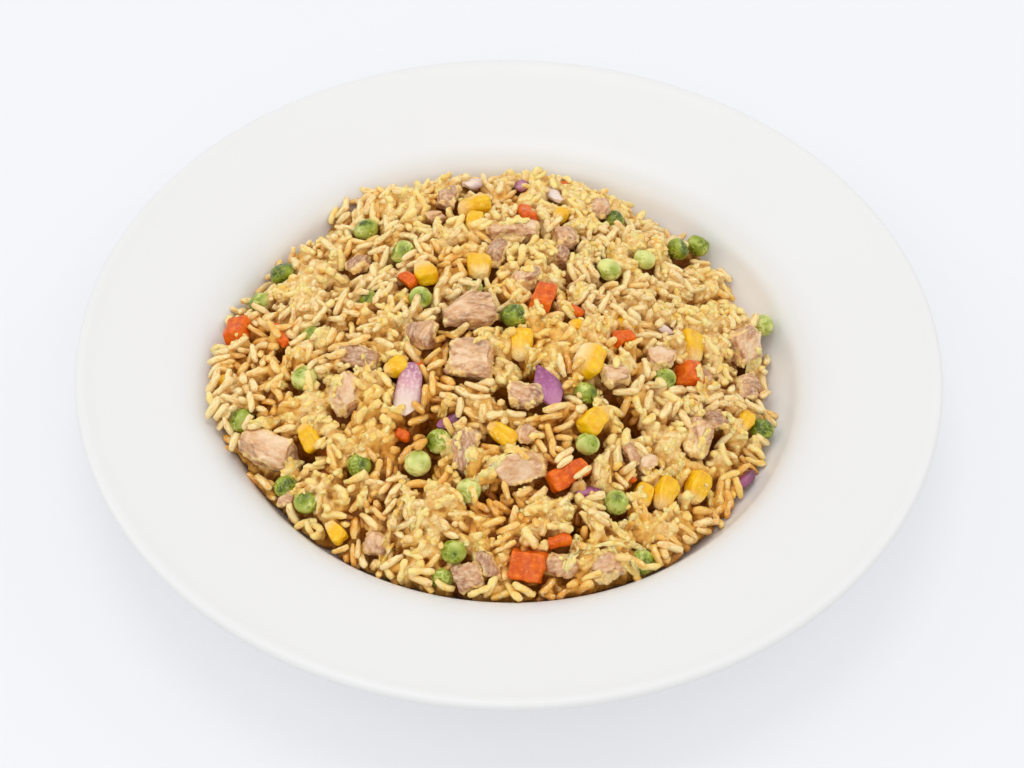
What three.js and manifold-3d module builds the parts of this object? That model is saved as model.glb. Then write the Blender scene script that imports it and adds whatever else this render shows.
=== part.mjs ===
// A wide-rimmed white porcelain plate heaped with chicken fried rice.
// Millimetres, +Z up. The origin is the middle of the foot ring, on the table, and -Y is the front.
import * as THREE from "three";
import { mergeVertices } from "three/addons/utils/BufferGeometryUtils.js";
import Module from "manifold-3d";

const wasm = await Module();
wasm.setup();

// Driving dimensions of the plate
const RIM_RADIUS = 140;
const RIM_HEIGHT = 38;
const LIP_RADIUS = 1.9; // half the thickness of the rounded rim
const WELL_RADIUS = 94.8; // where the flange ends and the well begins
const WELL_EDGE_HEIGHT = 29.2;
const FLOOR_RADIUS = 58;
const FLOOR_HEIGHT = 6;
const WALL_THICKNESS = 4.2;
const FOOT_OUTER_RADIUS = 65;
const FOOT_INNER_RADIUS = 57;
const FOOT_HEIGHT = 2.4;
const PLATE_SEGMENTS = 40;

// Driving dimensions of the heap of rice
const CROWN_HEIGHT = 48.5; // top of the heap above the table
const EDGE_RISE = 1.2; // the outermost grains stand this far above the plate
const GRAIN_WIDTH = 4.6; // one grain's share of the surface
const GRAIN_RELIEF = 1.7; // from the furrow between two grains to the ridge of one
const LUMPS = 34;
const LUMP_RISE = 2.2;
const CLEARANCE = 0.3; // between pieces that touch

// Facets of a round piece, round its length and along it: a body of its own, and one in the rice
const LARGE_FACETS = [7, 4];
const SMALL_FACETS = [6, 3];

// The heap's outline on the plate: bearing in degrees from +X, and distance from the middle
const HEAP_OUTLINE = [
  [0, 85], [10, 88], [17, 90.5], [25, 84], [34, 88], [46, 91], [55, 90], [64, 92], [90, 93.4],
  [112, 94.3], [128, 94.4], [145, 93.2], [160, 93.6], [174, 95], [186, 96.6], [196, 97.6],
  [208, 94.3], [224, 92.4], [240, 91.2], [256, 92], [270, 92.6], [286, 93], [300, 91],
  [316, 88.6], [332, 87.4], [346, 86.4], [360, 85],
];

// Colours of the plate and of the food
const PORCELAIN = 0xf2f1ef;
const RICE = 0xe0b56a;
const CHICKEN = 0xc79f83;
const PEA = 0x6c9a33;
const CORN = 0xf2b822;
const CARROT = 0xdd5a22;
const ONION = 0xb27a9e;

// A repeatable stream of random numbers from 0 to 1.
function randomStream(seed) {
  let state = seed;
  return () => {
    state = (state + 0x6d2b79f5) | 0;
    let mixed = Math.imul(state ^ (state >>> 15), 1 | state);
    mixed = (mixed + Math.imul(mixed ^ (mixed >>> 7), 61 | mixed)) ^ mixed;
    return ((mixed ^ (mixed >>> 14)) >>> 0) / 4294967296;
  };
}

function solidFrom(geometry) {
  const bare = geometry.clone();
  bare.deleteAttribute("normal");
  bare.deleteAttribute("uv");
  const merged = mergeVertices(bare, 1e-4);
  const vertProperties = merged.getAttribute("position").array;
  const triVerts = new Uint32Array(merged.index.array);
  return new wasm.Manifold(new wasm.Mesh({ numProp: 3, vertProperties, triVerts }));
}

function geometryFrom(solid) {
  const mesh = solid.getMesh();
  const geometry = new THREE.BufferGeometry();
  geometry.setAttribute("position", new THREE.BufferAttribute(mesh.vertProperties, 3));
  geometry.setIndex(new THREE.BufferAttribute(mesh.triVerts, 1));
  geometry.computeVertexNormals();
  return geometry;
}

function foodMaterial(color, roughness) {
  return new THREE.MeshStandardMaterial({ color, roughness, metalness: 0, flatShading: true });
}

// Points on the cove from the plate's floor up to the flange, grown outwards by a thickness.
function covePoints(thickness, drop, degrees) {
  return degrees.map((angle) => {
    const turn = THREE.MathUtils.degToRad(angle);
    const reach = WELL_RADIUS - FLOOR_RADIUS + thickness;
    const rise = WELL_EDGE_HEIGHT - FLOOR_HEIGHT;
    return new THREE.Vector2(
      FLOOR_RADIUS + reach * Math.sin(turn),
      FLOOR_HEIGHT - drop + rise * (1 - Math.cos(turn)),
    );
  });
}

// The upper face of the plate from the middle of its floor to the start of the rim.
function upperProfile() {
  const flangeRise = RIM_HEIGHT - WELL_EDGE_HEIGHT;
  return [
    new THREE.Vector2(0, FLOOR_HEIGHT),
    ...covePoints(0, 0, [0, 20, 40, 60, 78]),
    new THREE.Vector2(WELL_RADIUS + 0.4, WELL_EDGE_HEIGHT - 0.9),
    new THREE.Vector2(WELL_RADIUS + 2.6, WELL_EDGE_HEIGHT + 0.5),
    new THREE.Vector2(RIM_RADIUS - 5, WELL_EDGE_HEIGHT + 0.88 * flangeRise),
    new THREE.Vector2(RIM_RADIUS - 2.2, RIM_HEIGHT),
  ];
}

// The plate is one turned shape: floor, cove, sloping flange, rounded rim, underside and foot ring.
function plateGeometry() {
  const underFlange = WELL_EDGE_HEIGHT - WALL_THICKNESS;
  const underside = covePoints(WALL_THICKNESS, FLOOR_HEIGHT - FOOT_HEIGHT, [80, 56, 34]);
  const profile = [
    ...upperProfile(),
    new THREE.Vector2(RIM_RADIUS - 0.5, RIM_HEIGHT - 0.6),
    new THREE.Vector2(RIM_RADIUS, RIM_HEIGHT - LIP_RADIUS),
    new THREE.Vector2(RIM_RADIUS - 0.9, RIM_HEIGHT - 2 * LIP_RADIUS),
    new THREE.Vector2(WELL_RADIUS + 8, underFlange + 1.2),
    ...underside,
    new THREE.Vector2(FOOT_OUTER_RADIUS + 1.5, FOOT_HEIGHT),
    new THREE.Vector2(FOOT_OUTER_RADIUS, 0),
    new THREE.Vector2(FOOT_INNER_RADIUS, 0),
    new THREE.Vector2(FOOT_INNER_RADIUS - 1.5, FOOT_HEIGHT),
    new THREE.Vector2(0, FOOT_HEIGHT),
  ];
  const turned = new THREE.LatheGeometry(profile.reverse(), PLATE_SEGMENTS).rotateX(Math.PI / 2);
  return geometryFrom(solidFrom(turned));
}

// The space above the plate's upper face, held a little clear of it.
function spaceAbovePlate() {
  const lowest = upperProfile();
  const raised = lowest.map((point, i) => {
    const before = lowest[Math.max(i - 1, 0)];
    const after = lowest[Math.min(i + 1, lowest.length - 1)];
    const along = after.clone().sub(before).normalize();
    return new THREE.Vector2(
      i === 0 ? 0 : point.x - along.y * CLEARANCE * 1.2,
      point.y + along.x * CLEARANCE * 1.2,
    );
  });
  const top = 2 * CROWN_HEIGHT;
  raised.push(new THREE.Vector2(raised.at(-1).x, top), new THREE.Vector2(0, top));
  const turned = new THREE.LatheGeometry(raised, PLATE_SEGMENTS);
  return solidFrom(turned.rotateX(Math.PI / 2));
}

// Height of the plate's upper face at a distance from its middle.
const faceProfile = upperProfile();
function plateHeight(radius) {
  const outer = faceProfile.findIndex((point) => point.x > radius);
  const a = faceProfile[outer - 1];
  const b = faceProfile[outer];
  return a.y + ((b.y - a.y) * (radius - a.x)) / (b.x - a.x);
}

// Distance of the heap's outline from the middle, along a bearing in degrees.
function outlineRadius(bearing) {
  const next = HEAP_OUTLINE.findIndex(([degrees]) => degrees >= bearing);
  const [from, nearRadius] = HEAP_OUTLINE[Math.max(next - 1, 0)];
  const [to, farRadius] = HEAP_OUTLINE[next];
  const part = to > from ? (bearing - from) / (to - from) : 0;
  return THREE.MathUtils.lerp(nearRadius, farRadius, THREE.MathUtils.smoothstep(part, 0, 1));
}

// Soft lumps and hollows that keep the heap from being a smooth dome.
const lumpRandom = randomStream(11);
const lumps = Array.from({ length: LUMPS }, () => {
  const bearing = lumpRandom() * 2 * Math.PI;
  const distance = 80 * Math.sqrt(lumpRandom());
  return {
    x: distance * Math.cos(bearing),
    y: distance * Math.sin(bearing),
    reach: 8 + 7 * lumpRandom(),
    rise: LUMP_RISE * (2 * lumpRandom() - 1),
  };
});

// Height of the heap's mean surface: a low dome that meets the plate at the outline.
function heapHeight(x, y) {
  const radius = Math.hypot(x, y);
  const bearing = (THREE.MathUtils.radToDeg(Math.atan2(y, x)) + 360) % 360;
  const outline = outlineRadius(bearing);
  const edgeHeight = plateHeight(outline) + EDGE_RISE;
  if (radius > outline) return edgeHeight - 2.5 * (radius - outline);
  const inward = 1 - (radius / outline) ** 2;
  let height = edgeHeight + (CROWN_HEIGHT - edgeHeight) * inward;
  for (const lump of lumps) {
    const away = ((x - lump.x) ** 2 + (y - lump.y) ** 2) / lump.reach ** 2;
    height += lump.rise * Math.exp(-away) * Math.min(1, 4 * inward);
  }
  return height;
}

function heapNormal(x, y) {
  const step = 3;
  const slopeX = (heapHeight(x + step, y) - heapHeight(x - step, y)) / (2 * step);
  const slopeY = (heapHeight(x, y + step) - heapHeight(x, y - step)) / (2 * step);
  return new THREE.Vector3(-slopeX, -slopeY, 1).normalize();
}

// True where a piece lies on the bare heap, which has no grain there.
function isCovered(x, y) {
  const margin = 1.2;
  return Object.values(PIECES).concat(Object.values(HELD_PIECES)).flat().some((piece) => {
    const [pieceX, pieceY, length, width, , turn] = piece;
    const angle = THREE.MathUtils.degToRad(turn);
    const along = (x - pieceX) * Math.cos(angle) + (y - pieceY) * Math.sin(angle);
    const across = (y - pieceY) * Math.cos(angle) - (x - pieceX) * Math.sin(angle);
    return (along / (length / 2 + margin)) ** 2 + (across / (width / 2 + margin)) ** 2 < 1;
  });
}

// A blanket of grain-sized bumps over the heap. Grains lie in pairs, each pair square to the
// next, on a net whose knots are moved about, and each has a ridge of two points.
function grainBlanket() {
  const random = randomStream(5);
  const vary = (amount) => amount * (2 * random() - 1);
  const positions = [];
  const triangles = [];
  const addPoint = (x, y, lift) => {
    positions.push(x, y, Math.max(heapHeight(x, y) + lift, 0));
    return positions.length / 3 - 1;
  };
  // The place of a knot on a net that drifts, so that no row of grains runs straight
  const drift = (a, b) => [
    a * GRAIN_WIDTH + 3.6 * Math.sin(b * 0.41) + 2.4 * Math.sin(a * 0.23 + b * 0.67),
    b * GRAIN_WIDTH + 3.6 * Math.sin(a * 0.37 + 1) + 2.4 * Math.sin(a * 0.71 - b * 0.29),
  ];
  const knots = new Map();
  const knot = ([a, b]) => {
    const key = a + "," + b;
    if (!knots.has(key)) {
      const [x, y] = drift(a, b);
      knots.set(key, addPoint(x + vary(0.7), y + vary(0.7), vary(0.4) - GRAIN_RELIEF / 2));
    }
    return knots.get(key);
  };
  const ridgePoint = ([a, b]) => {
    const [x, y] = drift(a, b);
    return addPoint(x + vary(0.5), y + vary(0.5), vary(0.6) + GRAIN_RELIEF / 2);
  };
  // A grain has four corners, and a middle knot on its outer side, where the next pair ends.
  // place(along, across) is a place in the pair of grains, two units long and two wide.
  const addGrain = (place, isFirst) => {
    const ring = isFirst
      ? [[1, 0], [2, 0], [2, 1], [0, 1], [0, 0]]
      : [[1, 2], [0, 2], [0, 1], [2, 1], [2, 2]];
    const [middle, a, b, c, d] = ring.map(([along, across]) => knot(place(along, across)));
    const across = isFirst ? 0.5 : 1.5;
    if (isCovered(...drift(...place(1, across)))) {
      triangles.push([middle, a, b], [middle, b, c], [middle, c, d]);
      return;
    }
    const near = ridgePoint(place(isFirst ? 1.5 : 0.5, across));
    const far = ridgePoint(place(isFirst ? 0.5 : 1.5, across));
    triangles.push([middle, a, near], [a, b, near], [b, far, near], [b, c, far]);
    triangles.push([c, d, far], [d, middle, far], [middle, near, far]);
  };
  const half = 2 * Math.ceil((WELL_RADIUS + 12) / GRAIN_WIDTH / 2);
  for (let a = -half; a < half; a += 2) {
    for (let b = -half; b < half; b += 2) {
      const isLengthways = ((a + b) / 2) % 2 === 0;
      const place = isLengthways
        ? (along, across) => [a + along, b + across]
        : (along, across) => [a + 2 - across, b + along];
      addGrain(place, true);
      addGrain(place, false);
    }
  }
  return closeBelow(positions, triangles);
}

// Turns an open sheet into a closed block that reaches down below the plate's floor.
function closeBelow(positions, triangles) {
  const count = positions.length / 3;
  const all = positions.slice();
  for (let i = 0; i < count; i += 1) all.push(positions[3 * i], positions[3 * i + 1], -10);
  const index = [];
  const open = new Map();
  for (const [a, b, c] of triangles) {
    index.push(a, b, c, count + a, count + c, count + b);
    for (const [from, to] of [[a, b], [b, c], [c, a]]) {
      const back = to + "," + from;
      if (open.has(back)) open.delete(back);
      else open.set(from + "," + to, [from, to]);
    }
  }
  for (const [from, to] of open.values()) {
    index.push(from, count + from, to, to, count + from, count + to);
  }
  const geometry = new THREE.BufferGeometry();
  geometry.setAttribute("position", new THREE.Float32BufferAttribute(all, 3));
  geometry.setIndex(index);
  return geometry;
}

// A ball of few sides with its poles on the length, shaped point by point.
function shapedBall([length, width, height], facets, shape) {
  const ball = new THREE.SphereGeometry(1, ...facets).rotateZ(Math.PI / 2);
  const points = ball.getAttribute("position");
  const point = new THREE.Vector3();
  for (let i = 0; i < points.count; i += 1) {
    point.fromBufferAttribute(points, i);
    shape(point);
    points.setXYZ(i, (point.x * length) / 2, (point.y * width) / 2, (point.z * height) / 2);
  }
  return ball;
}

const towardsBox = (value, power) => Math.sign(value) * Math.abs(value) ** power;

// A pea is a slightly flattened ball.
function peaShape(size, facets) {
  return shapedBall(size, facets, () => {});
}

// A corn kernel is a wedge: a broad rounded crown at one end and a narrow tip at the other.
function cornShape(size, facets) {
  return shapedBall(size, facets, (point) => {
    const crown = 0.58 + 0.42 * Math.sin((Math.PI * (point.x + 1)) / 2.6);
    point.y = towardsBox(point.y, 0.8) * crown;
    point.z = towardsBox(point.z, 0.85) * (0.8 + 0.2 * crown);
  });
}

// A slice of onion is a thin leaf-shaped shell that curves over its width and its length.
function onionShape(size, facets) {
  const thickness = 0.45;
  return shapedBall(size, facets, (point) => {
    const side = point.y ** 2;
    point.z = point.z * thickness + 0.55 - 1.1 * side - 0.3 * point.x ** 2;
  });
}

// A piece of chicken is a torn, blunt-cornered chunk. Its own seed gives it its corners.
function chickenShape(size, facets, seed) {
  const random = randomStream(seed);
  const corners = new Map();
  return shapedBall(size, facets, (point) => {
    const key = point.toArray().map((value) => Math.round(value * 20)).join();
    if (!corners.has(key)) corners.set(key, 0.84 + 0.2 * random());
    const pull = corners.get(key);
    point.set(towardsBox(point.x, 0.8), towardsBox(point.y, 0.75), towardsBox(point.z, 0.75));
    point.multiplyScalar(pull);
  });
}

// A carrot dice is a block with its edges taken off.
function carrotShape([length, width, height]) {
  const edge = 0.7;
  const x = length / 2 - edge;
  const y = width / 2 - edge;
  const outline = new THREE.Shape();
  outline.moveTo(-x, -y * 0.9);
  outline.lineTo(x, -y);
  outline.lineTo(x * 0.94, y);
  outline.lineTo(-x * 0.96, y);
  outline.closePath();
  const block = new THREE.ExtrudeGeometry(outline, {
    depth: height - 2 * edge,
    bevelThickness: edge,
    bevelSize: edge,
    bevelSegments: 1,
  });
  return block.translate(0, 0, edge - height / 2);
}

// Each kind's hollow in the rice has so many sides, and is so much wider than the piece at its
// top and at its bottom.
const KINDS = {
  pea: { shape: peaShape, color: PEA, roughness: 0.35, sides: 6, top: 1, bottom: 0.84 },
  corn: { shape: cornShape, color: CORN, roughness: 0.3, sides: 6, top: 1.02, bottom: 0.84 },
  carrot: { shape: carrotShape, color: CARROT, roughness: 0.35, sides: 4, top: 1, bottom: 1 },
  onion: { shape: onionShape, color: ONION, roughness: 0.35, sides: 6, top: 1.02, bottom: 1 },
  chicken: { shape: chickenShape, color: CHICKEN, roughness: 0.5, sides: 6, top: 1.1, bottom: 0.96 },
};

// Where each piece lies in plan, its length, width and height, the turn of its length from +X in
// degrees, and how far its middle is above the rice. These are the large pieces, each a body
// of its own.
const PIECES = {
  chicken: [
    [-13, 1, 19, 13, 10, 8, 1.6],
    [-28, -8, 12, 9.5, 9, 66, 1],
    [-11.5, -18, 16.5, 13, 10, -12, 1.6],
    [-48.5, -15, 16, 7.5, 8, -28, 1],
    [-51, -27.5, 14, 10, 9, 96, 1.2],
    [-74, -42, 22, 12, 10, -30, 1.4],
    [-13, -49, 16, 9, 9, 74, 0.6],
    [4, -54, 19, 11, 9, 12, 1],
    [76.5, 10.5, 17, 12.5, 9, 52, 1.6],
    [77.5, -4.5, 13, 10, 9, 30, 0.6],
    [60, -34, 15, 8.5, 8, 80, 0.8],
    [1, 42.5, 19, 8.5, 8, 4, 0.8],
    [-5, 31.5, 11, 8, 8, 76, 0.2],
    [17.5, 43, 12, 8.5, 8, 100, 0.4],
    [4, 18, 12, 7.5, 7, 36, 0.4],
    [29.5, -82.5, 13, 8.5, 8, 22, 0.8],
    [17.5, -83, 11, 6.5, 6.5, -14, 0.8],
    [-11.5, -86, 10, 8.5, 7, 8, 0.8],
  ],
  onion: [
    [-31.5, -28, 18, 9, 5.5, 80, 1.6],
    [12, -29, 17, 8.5, 5, -64, 1.6],
    [14.5, 72.5, 16, 6.5, 5, 100, 0.8],
  ],
  carrot: [
    [-88.5, 5.5, 9.5, 7.5, 7, 84, 2],
    [5, 54.5, 10.5, 6, 5.5, -76, 1.2],
    [10.5, 7.5, 11.5, 7.5, 7, 76, 1.8],
    [57.5, -10, 8, 6, 6, -72, 1],
    [18.5, -56, 13, 6, 6, 36, 0.8],
    [6.5, -83.5, 11, 8.5, 7, -8, 1],
  ],
  corn: [
    [-13, 59, 12, 8, 7, 36, 1.6],
    [-28, 20.5, 11, 7.5, 6.5, 112, 1.2],
    [-10.5, 21, 11, 9, 7, 96, 1.6],
    [58.5, 1.5, 12, 9, 7, 98, 1.4],
    [-62, -39.5, 10, 7, 6.5, -66, 0.6],
    [-2, -44, 10.5, 6.5, 6, -36, 0.8],
    [3.5, -12.5, 10.5, 8, 7, 84, 1.2],
    [24.5, -16, 13, 9.5, 7, 72, 1.8],
    [26.5, -37, 12, 8, 7, 52, 1.6],
    [59, -50, 11, 7.5, 6.5, 78, 1.2],
    [48.5, -55, 11, 7.5, 6.5, 82, 1.2],
  ],
  pea: [
    [-49, 50, 8.8, 8.6, 8, 0, 1.4],
    [-76.5, 35.5, 9.2, 8.8, 8, 0, 1.4],
    [-83.5, 22.5, 8.4, 8.2, 7.6, 0, 0.4],
    [-35.5, 32.5, 9, 8.8, 8, 0, 1.8],
    [-29, 9, 8, 7.8, 7.2, 0, 1.4],
    [1, -1, 8.6, 8.4, 8, 0, 1.4],
    [56.5, 51.5, 8.2, 8, 7.6, 0, 1],
    [63.5, 58.5, 8.4, 8.2, 7.6, 0, 2.4],
    [44.5, 38, 7.8, 7.6, 7, 0, 0.8],
    [32, 27.5, 8.6, 8.4, 7.6, 0, 1.4],
    [83.5, 22.5, 8, 7.8, 7.4, 0, 2.2],
    [-64.5, -21.5, 8.8, 8.4, 8, 0, 1.2],
    [-84, -31.5, 8.6, 8.4, 8, 0, 0.8],
    [-69, -53, 8, 7.8, 7.4, 0, 0.4],
    [-46, -50, 8, 7.8, 7.2, 0, 0.6],
    [-27.5, -51, 8.8, 8.6, 8.2, 0, 1.4],
    [-21.5, -44.5, 8.4, 8.4, 8, 0, 0.6],
    [24, -28, 7.8, 7.6, 7, 0, 0.6],
    [33.5, -61.5, 8.4, 8.2, 7.6, 0, 0.6],
    [41, -77.5, 10, 8.8, 8, 16, 1.2],
  ],
};

// The smaller and half buried pieces, which the rice holds: the same seven values.
const HELD_PIECES = {
  chicken: [
    [-22.5, 65.5, 11, 7, 6, 80, 0.4],
    [30.5, 65, 9, 8, 6, 40, 0.6],
    [48.5, -8.5, 10, 8, 6, 10, 0.8],
    [33, -20, 9, 6.5, 6, 20, 0.6],
    [5, -32, 10, 7.5, 6, -20, 0.8],
    [-40, -74.5, 8, 7, 6, 80, 0.6],
    [43, -47, 8, 5.5, 5, 60, 0.6],
    [-50.5, 33, 9, 6, 5, 20, 0.2],
  ],
  onion: [
    [3.5, 77, 9, 7, 4, 90, 0.8],
    [76, -40.5, 9, 5, 4, 50, 1],
  ],
  carrot: [
    [-74, -1, 13, 4, 4, -64, 0.8],
    [-33, 17, 8, 4.5, 4, -60, 0.4],
    [36.5, -4, 8, 5, 5, 20, 0.4],
    [16, -77.5, 8, 4, 4, 20, 0.6],
  ],
  corn: [
    [-12.5, 49.5, 8, 6, 5, 80, 0.6],
    [-35.5, -20.5, 8, 6, 5.5, 20, 0.8],
    [76, -21.5, 9, 5.5, 5, 70, 0.8],
    [-52.5, -69.5, 8, 5, 5, -50, 0.8],
  ],
  pea: [
    [82, -21.5, 8, 7, 7, 0, 0.8],
    [-62, -60, 8, 7.6, 7, 0, 0.4],
    [-16, -79.5, 8, 7.6, 7, 0, 0.2],
    [24.5, -46, 7.6, 7.2, 7, 0, 0.4],
  ],
};

// Lays a piece on the heap: turned about its own upright, then leant with the slope.
function layOnHeap(object, [x, y, , , , turn, lift]) {
  const normal = heapNormal(x, y);
  const lean = new THREE.Quaternion().setFromUnitVectors(new THREE.Vector3(0, 0, 1), normal);
  const spin = new THREE.Quaternion().setFromAxisAngle(
    new THREE.Vector3(0, 0, 1),
    THREE.MathUtils.degToRad(turn),
  );
  object.quaternion.copy(lean.multiply(spin));
  object.position.set(x, y, heapHeight(x, y)).addScaledVector(normal, lift);
  object.updateMatrix();
}

// A small piece as a solid in its place, to be joined to the rice.
function heldSolid(kind, piece, seed) {
  const geometry = KINDS[kind].shape(piece.slice(2, 5), SMALL_FACETS, seed);
  const holder = new THREE.Object3D();
  layOnHeap(holder, piece);
  return solidFrom(geometry.applyMatrix4(holder.matrix));
}

// The hollow that a large piece lies in: a cup of few sides, open above, that clears the piece.
function hollowSolid(kind, piece) {
  const [, , length, width, height] = piece;
  const { sides, top, bottom } = KINDS[kind];
  const corner = 1 / Math.cos(Math.PI / sides);
  const depth = height / 2 + CLEARANCE;
  const cup = new THREE.CylinderGeometry(top * corner, bottom * corner, depth + height, sides);
  cup.rotateY(Math.PI / sides).rotateX(Math.PI / 2).translate(0, 0, (height - depth) / 2);
  cup.scale(length / 2 + CLEARANCE, width / 2 + CLEARANCE, 1);
  const holder = new THREE.Object3D();
  layOnHeap(holder, piece);
  return solidFrom(cup.applyMatrix4(holder.matrix));
}

const dish = new THREE.Group();
const porcelain = new THREE.MeshStandardMaterial({
  color: PORCELAIN,
  roughness: 0.2,
  metalness: 0,
});
const plate = new THREE.Mesh(plateGeometry(), porcelain);
plate.name = "plate";
dish.add(plate);

// The large pieces, each its own mesh, and the hollow that each lies in
const food = new THREE.Group();
const hollows = [];
for (const [kind, pieces] of Object.entries(PIECES)) {
  const { shape, color, roughness } = KINDS[kind];
  pieces.forEach((piece, i) => {
    const geometry = shape(piece.slice(2, 5), LARGE_FACETS, 100 + i);
    const mesh = new THREE.Mesh(geometry, foodMaterial(color, roughness));
    mesh.name = kind + "_" + String(i + 1).padStart(2, "0");
    layOnHeap(mesh, piece);
    food.add(mesh);
    hollows.push(hollowSolid(kind, piece));
  });
}

// The rice: the bumpy heap with the small pieces joined to it, kept inside the plate, and then
// hollowed for the large ones. Scraps that the hollows cut off are dropped.
let heap = solidFrom(grainBlanket());
for (const [kind, pieces] of Object.entries(HELD_PIECES)) {
  pieces.forEach((piece, i) => {
    heap = heap.add(heldSolid(kind, piece, 300 + i));
  });
}
heap = heap.intersect(spaceAbovePlate());
for (const hollow of hollows) heap = heap.subtract(hollow);
const bodies = heap.decompose().sort((a, b) => b.volume() - a.volume());
const rice = new THREE.Mesh(geometryFrom(bodies[0]), foodMaterial(RICE, 0.55));
rice.name = "rice";
food.add(rice);
dish.add(food);

export default dish;
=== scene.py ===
import math
import random

import bpy
import numpy as np
from mathutils import Matrix, Vector, noise
from mathutils.bvhtree import BVHTree


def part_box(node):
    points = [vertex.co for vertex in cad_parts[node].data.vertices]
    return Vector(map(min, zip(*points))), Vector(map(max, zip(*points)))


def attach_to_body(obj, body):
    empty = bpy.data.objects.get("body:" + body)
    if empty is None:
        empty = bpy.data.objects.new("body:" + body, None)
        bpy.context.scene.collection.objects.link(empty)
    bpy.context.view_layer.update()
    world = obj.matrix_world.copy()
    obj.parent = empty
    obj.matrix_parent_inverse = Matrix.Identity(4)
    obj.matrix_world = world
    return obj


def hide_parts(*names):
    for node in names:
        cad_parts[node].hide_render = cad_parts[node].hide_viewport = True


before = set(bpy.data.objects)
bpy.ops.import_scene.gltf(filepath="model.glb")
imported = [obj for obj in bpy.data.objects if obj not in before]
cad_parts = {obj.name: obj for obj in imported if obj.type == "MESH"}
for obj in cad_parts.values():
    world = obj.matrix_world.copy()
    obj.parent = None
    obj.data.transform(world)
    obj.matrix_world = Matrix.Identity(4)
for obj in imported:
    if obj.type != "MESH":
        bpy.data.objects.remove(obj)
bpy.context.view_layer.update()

# The camera. It looks down on the plate from the front with a long lens, as the photograph
# does, and leans very slightly to one side. Its place was fitted to the outline of the rim.
mm = 0.001
camera_aim = Vector((0.98, -18.75, 38)) * mm
camera_distance = 701.3 * mm
camera_elevation = math.radians(48.79)
camera_roll = math.radians(0.89)
focal_length_in_widths = 2200 / 1024
sensor_width = 36

back = Vector((0, -math.cos(camera_elevation), math.sin(camera_elevation)))
level_right = Vector((1, 0, 0))
level_up = back.cross(level_right)
right = level_right * math.cos(camera_roll) + level_up * math.sin(camera_roll)
up = level_up * math.cos(camera_roll) - level_right * math.sin(camera_roll)
bpy.ops.object.camera_add()
camera = bpy.context.object
camera.data.sensor_width = sensor_width
camera.data.lens = sensor_width * focal_length_in_widths
camera.data.clip_start = 0.01
camera.matrix_world = Matrix.LocRotScale(
    camera_aim + back * camera_distance,
    Matrix((right, up, back)).transposed(),
    None,
)
bpy.context.scene.camera = camera


# The plate. A wide-rimmed plate of white porcelain, turned in one piece with a deep well and a
# foot ring, and covered with a clear glossy glaze.
rim_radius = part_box("plate")[1].x
rim_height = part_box("plate")[1].z
lip_radius = 1.9 * mm
well_radius = 94.8 * mm
well_edge_height = 29.2 * mm
floor_radius = 58 * mm
floor_height = 6 * mm
wall_thickness = 4.2 * mm
foot_outer_radius = 65 * mm
foot_inner_radius = 57 * mm
foot_height = 2.4 * mm
plate_segments = 176


def cove(thickness, lowest, degrees):
    """Points on the curve from the plate's floor up to its flange, grown by a thickness."""
    reach = well_radius - floor_radius + thickness
    rise = well_edge_height - floor_height
    turns = [math.radians(angle) for angle in degrees]
    return [
        (floor_radius + reach * math.sin(turn), lowest + rise * (1 - math.cos(turn)))
        for turn in turns
    ]


def rounded_corner(start, corner, end, steps):
    """Points on a smooth curve that leaves start towards corner and arrives at end from it."""
    shares = [step / steps for step in range(steps + 1)]
    return [
        tuple(
            (1 - share) ** 2 * start[i] + 2 * share * (1 - share) * corner[i] + share ** 2 * end[i]
            for i in range(2)
        )
        for share in shares
    ]


def lip_arc(first, last, step):
    """Points round the rolled edge of the rim, by bearing in degrees."""
    return [
        (
            rim_radius - lip_radius + lip_radius * math.cos(math.radians(bearing)),
            rim_height - lip_radius + lip_radius * math.sin(math.radians(bearing)),
        )
        for bearing in range(first, last, step)
    ]


well_corner = rounded_corner(
    (well_radius - 1.4 * mm, well_edge_height - 6.4 * mm),
    (well_radius + 1.7 * mm, well_edge_height + 0.3 * mm),
    (well_radius + 13 * mm, well_edge_height + 2.5 * mm),
    12,
)
plate_face = [(share * floor_radius, floor_height) for share in (0.1, 0.3, 0.5, 0.7, 0.85, 1)]
plate_face += cove(0, floor_height, range(5, 73, 5))
plate_face += well_corner
plate_face += [
    (rim_radius - inward * mm, rim_height - below * mm)
    for inward, below in ((25, 5.0), (16, 3.26), (8, 1.66), (5, 0.95), (3.4, 0.35))
]
plate_underside = [(well_radius + 26 * mm, 30.2 * mm), (well_radius + 8 * mm, 26.2 * mm)]
plate_underside += cove(wall_thickness, foot_height, range(80, 14, -6))
plate_foot = [
    (foot_outer_radius + 1.2 * mm, foot_height),
    (foot_outer_radius + 0.4 * mm, foot_height / 4),
    (foot_outer_radius - 0.5 * mm, 0),
    (foot_inner_radius + 0.5 * mm, 0),
    (foot_inner_radius - 0.4 * mm, foot_height / 4),
    (foot_inner_radius - 1.5 * mm, foot_height),
]
plate_base = [(share * foot_inner_radius, foot_height) for share in (0.8, 0.5, 0.2)]


def started_from(add, **settings):
    """A new piece begun from one of Blender's plain shapes, and the only one selected."""
    bpy.ops.object.select_all(action="DESELECT")
    add(**settings)
    return bpy.context.object


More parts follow.
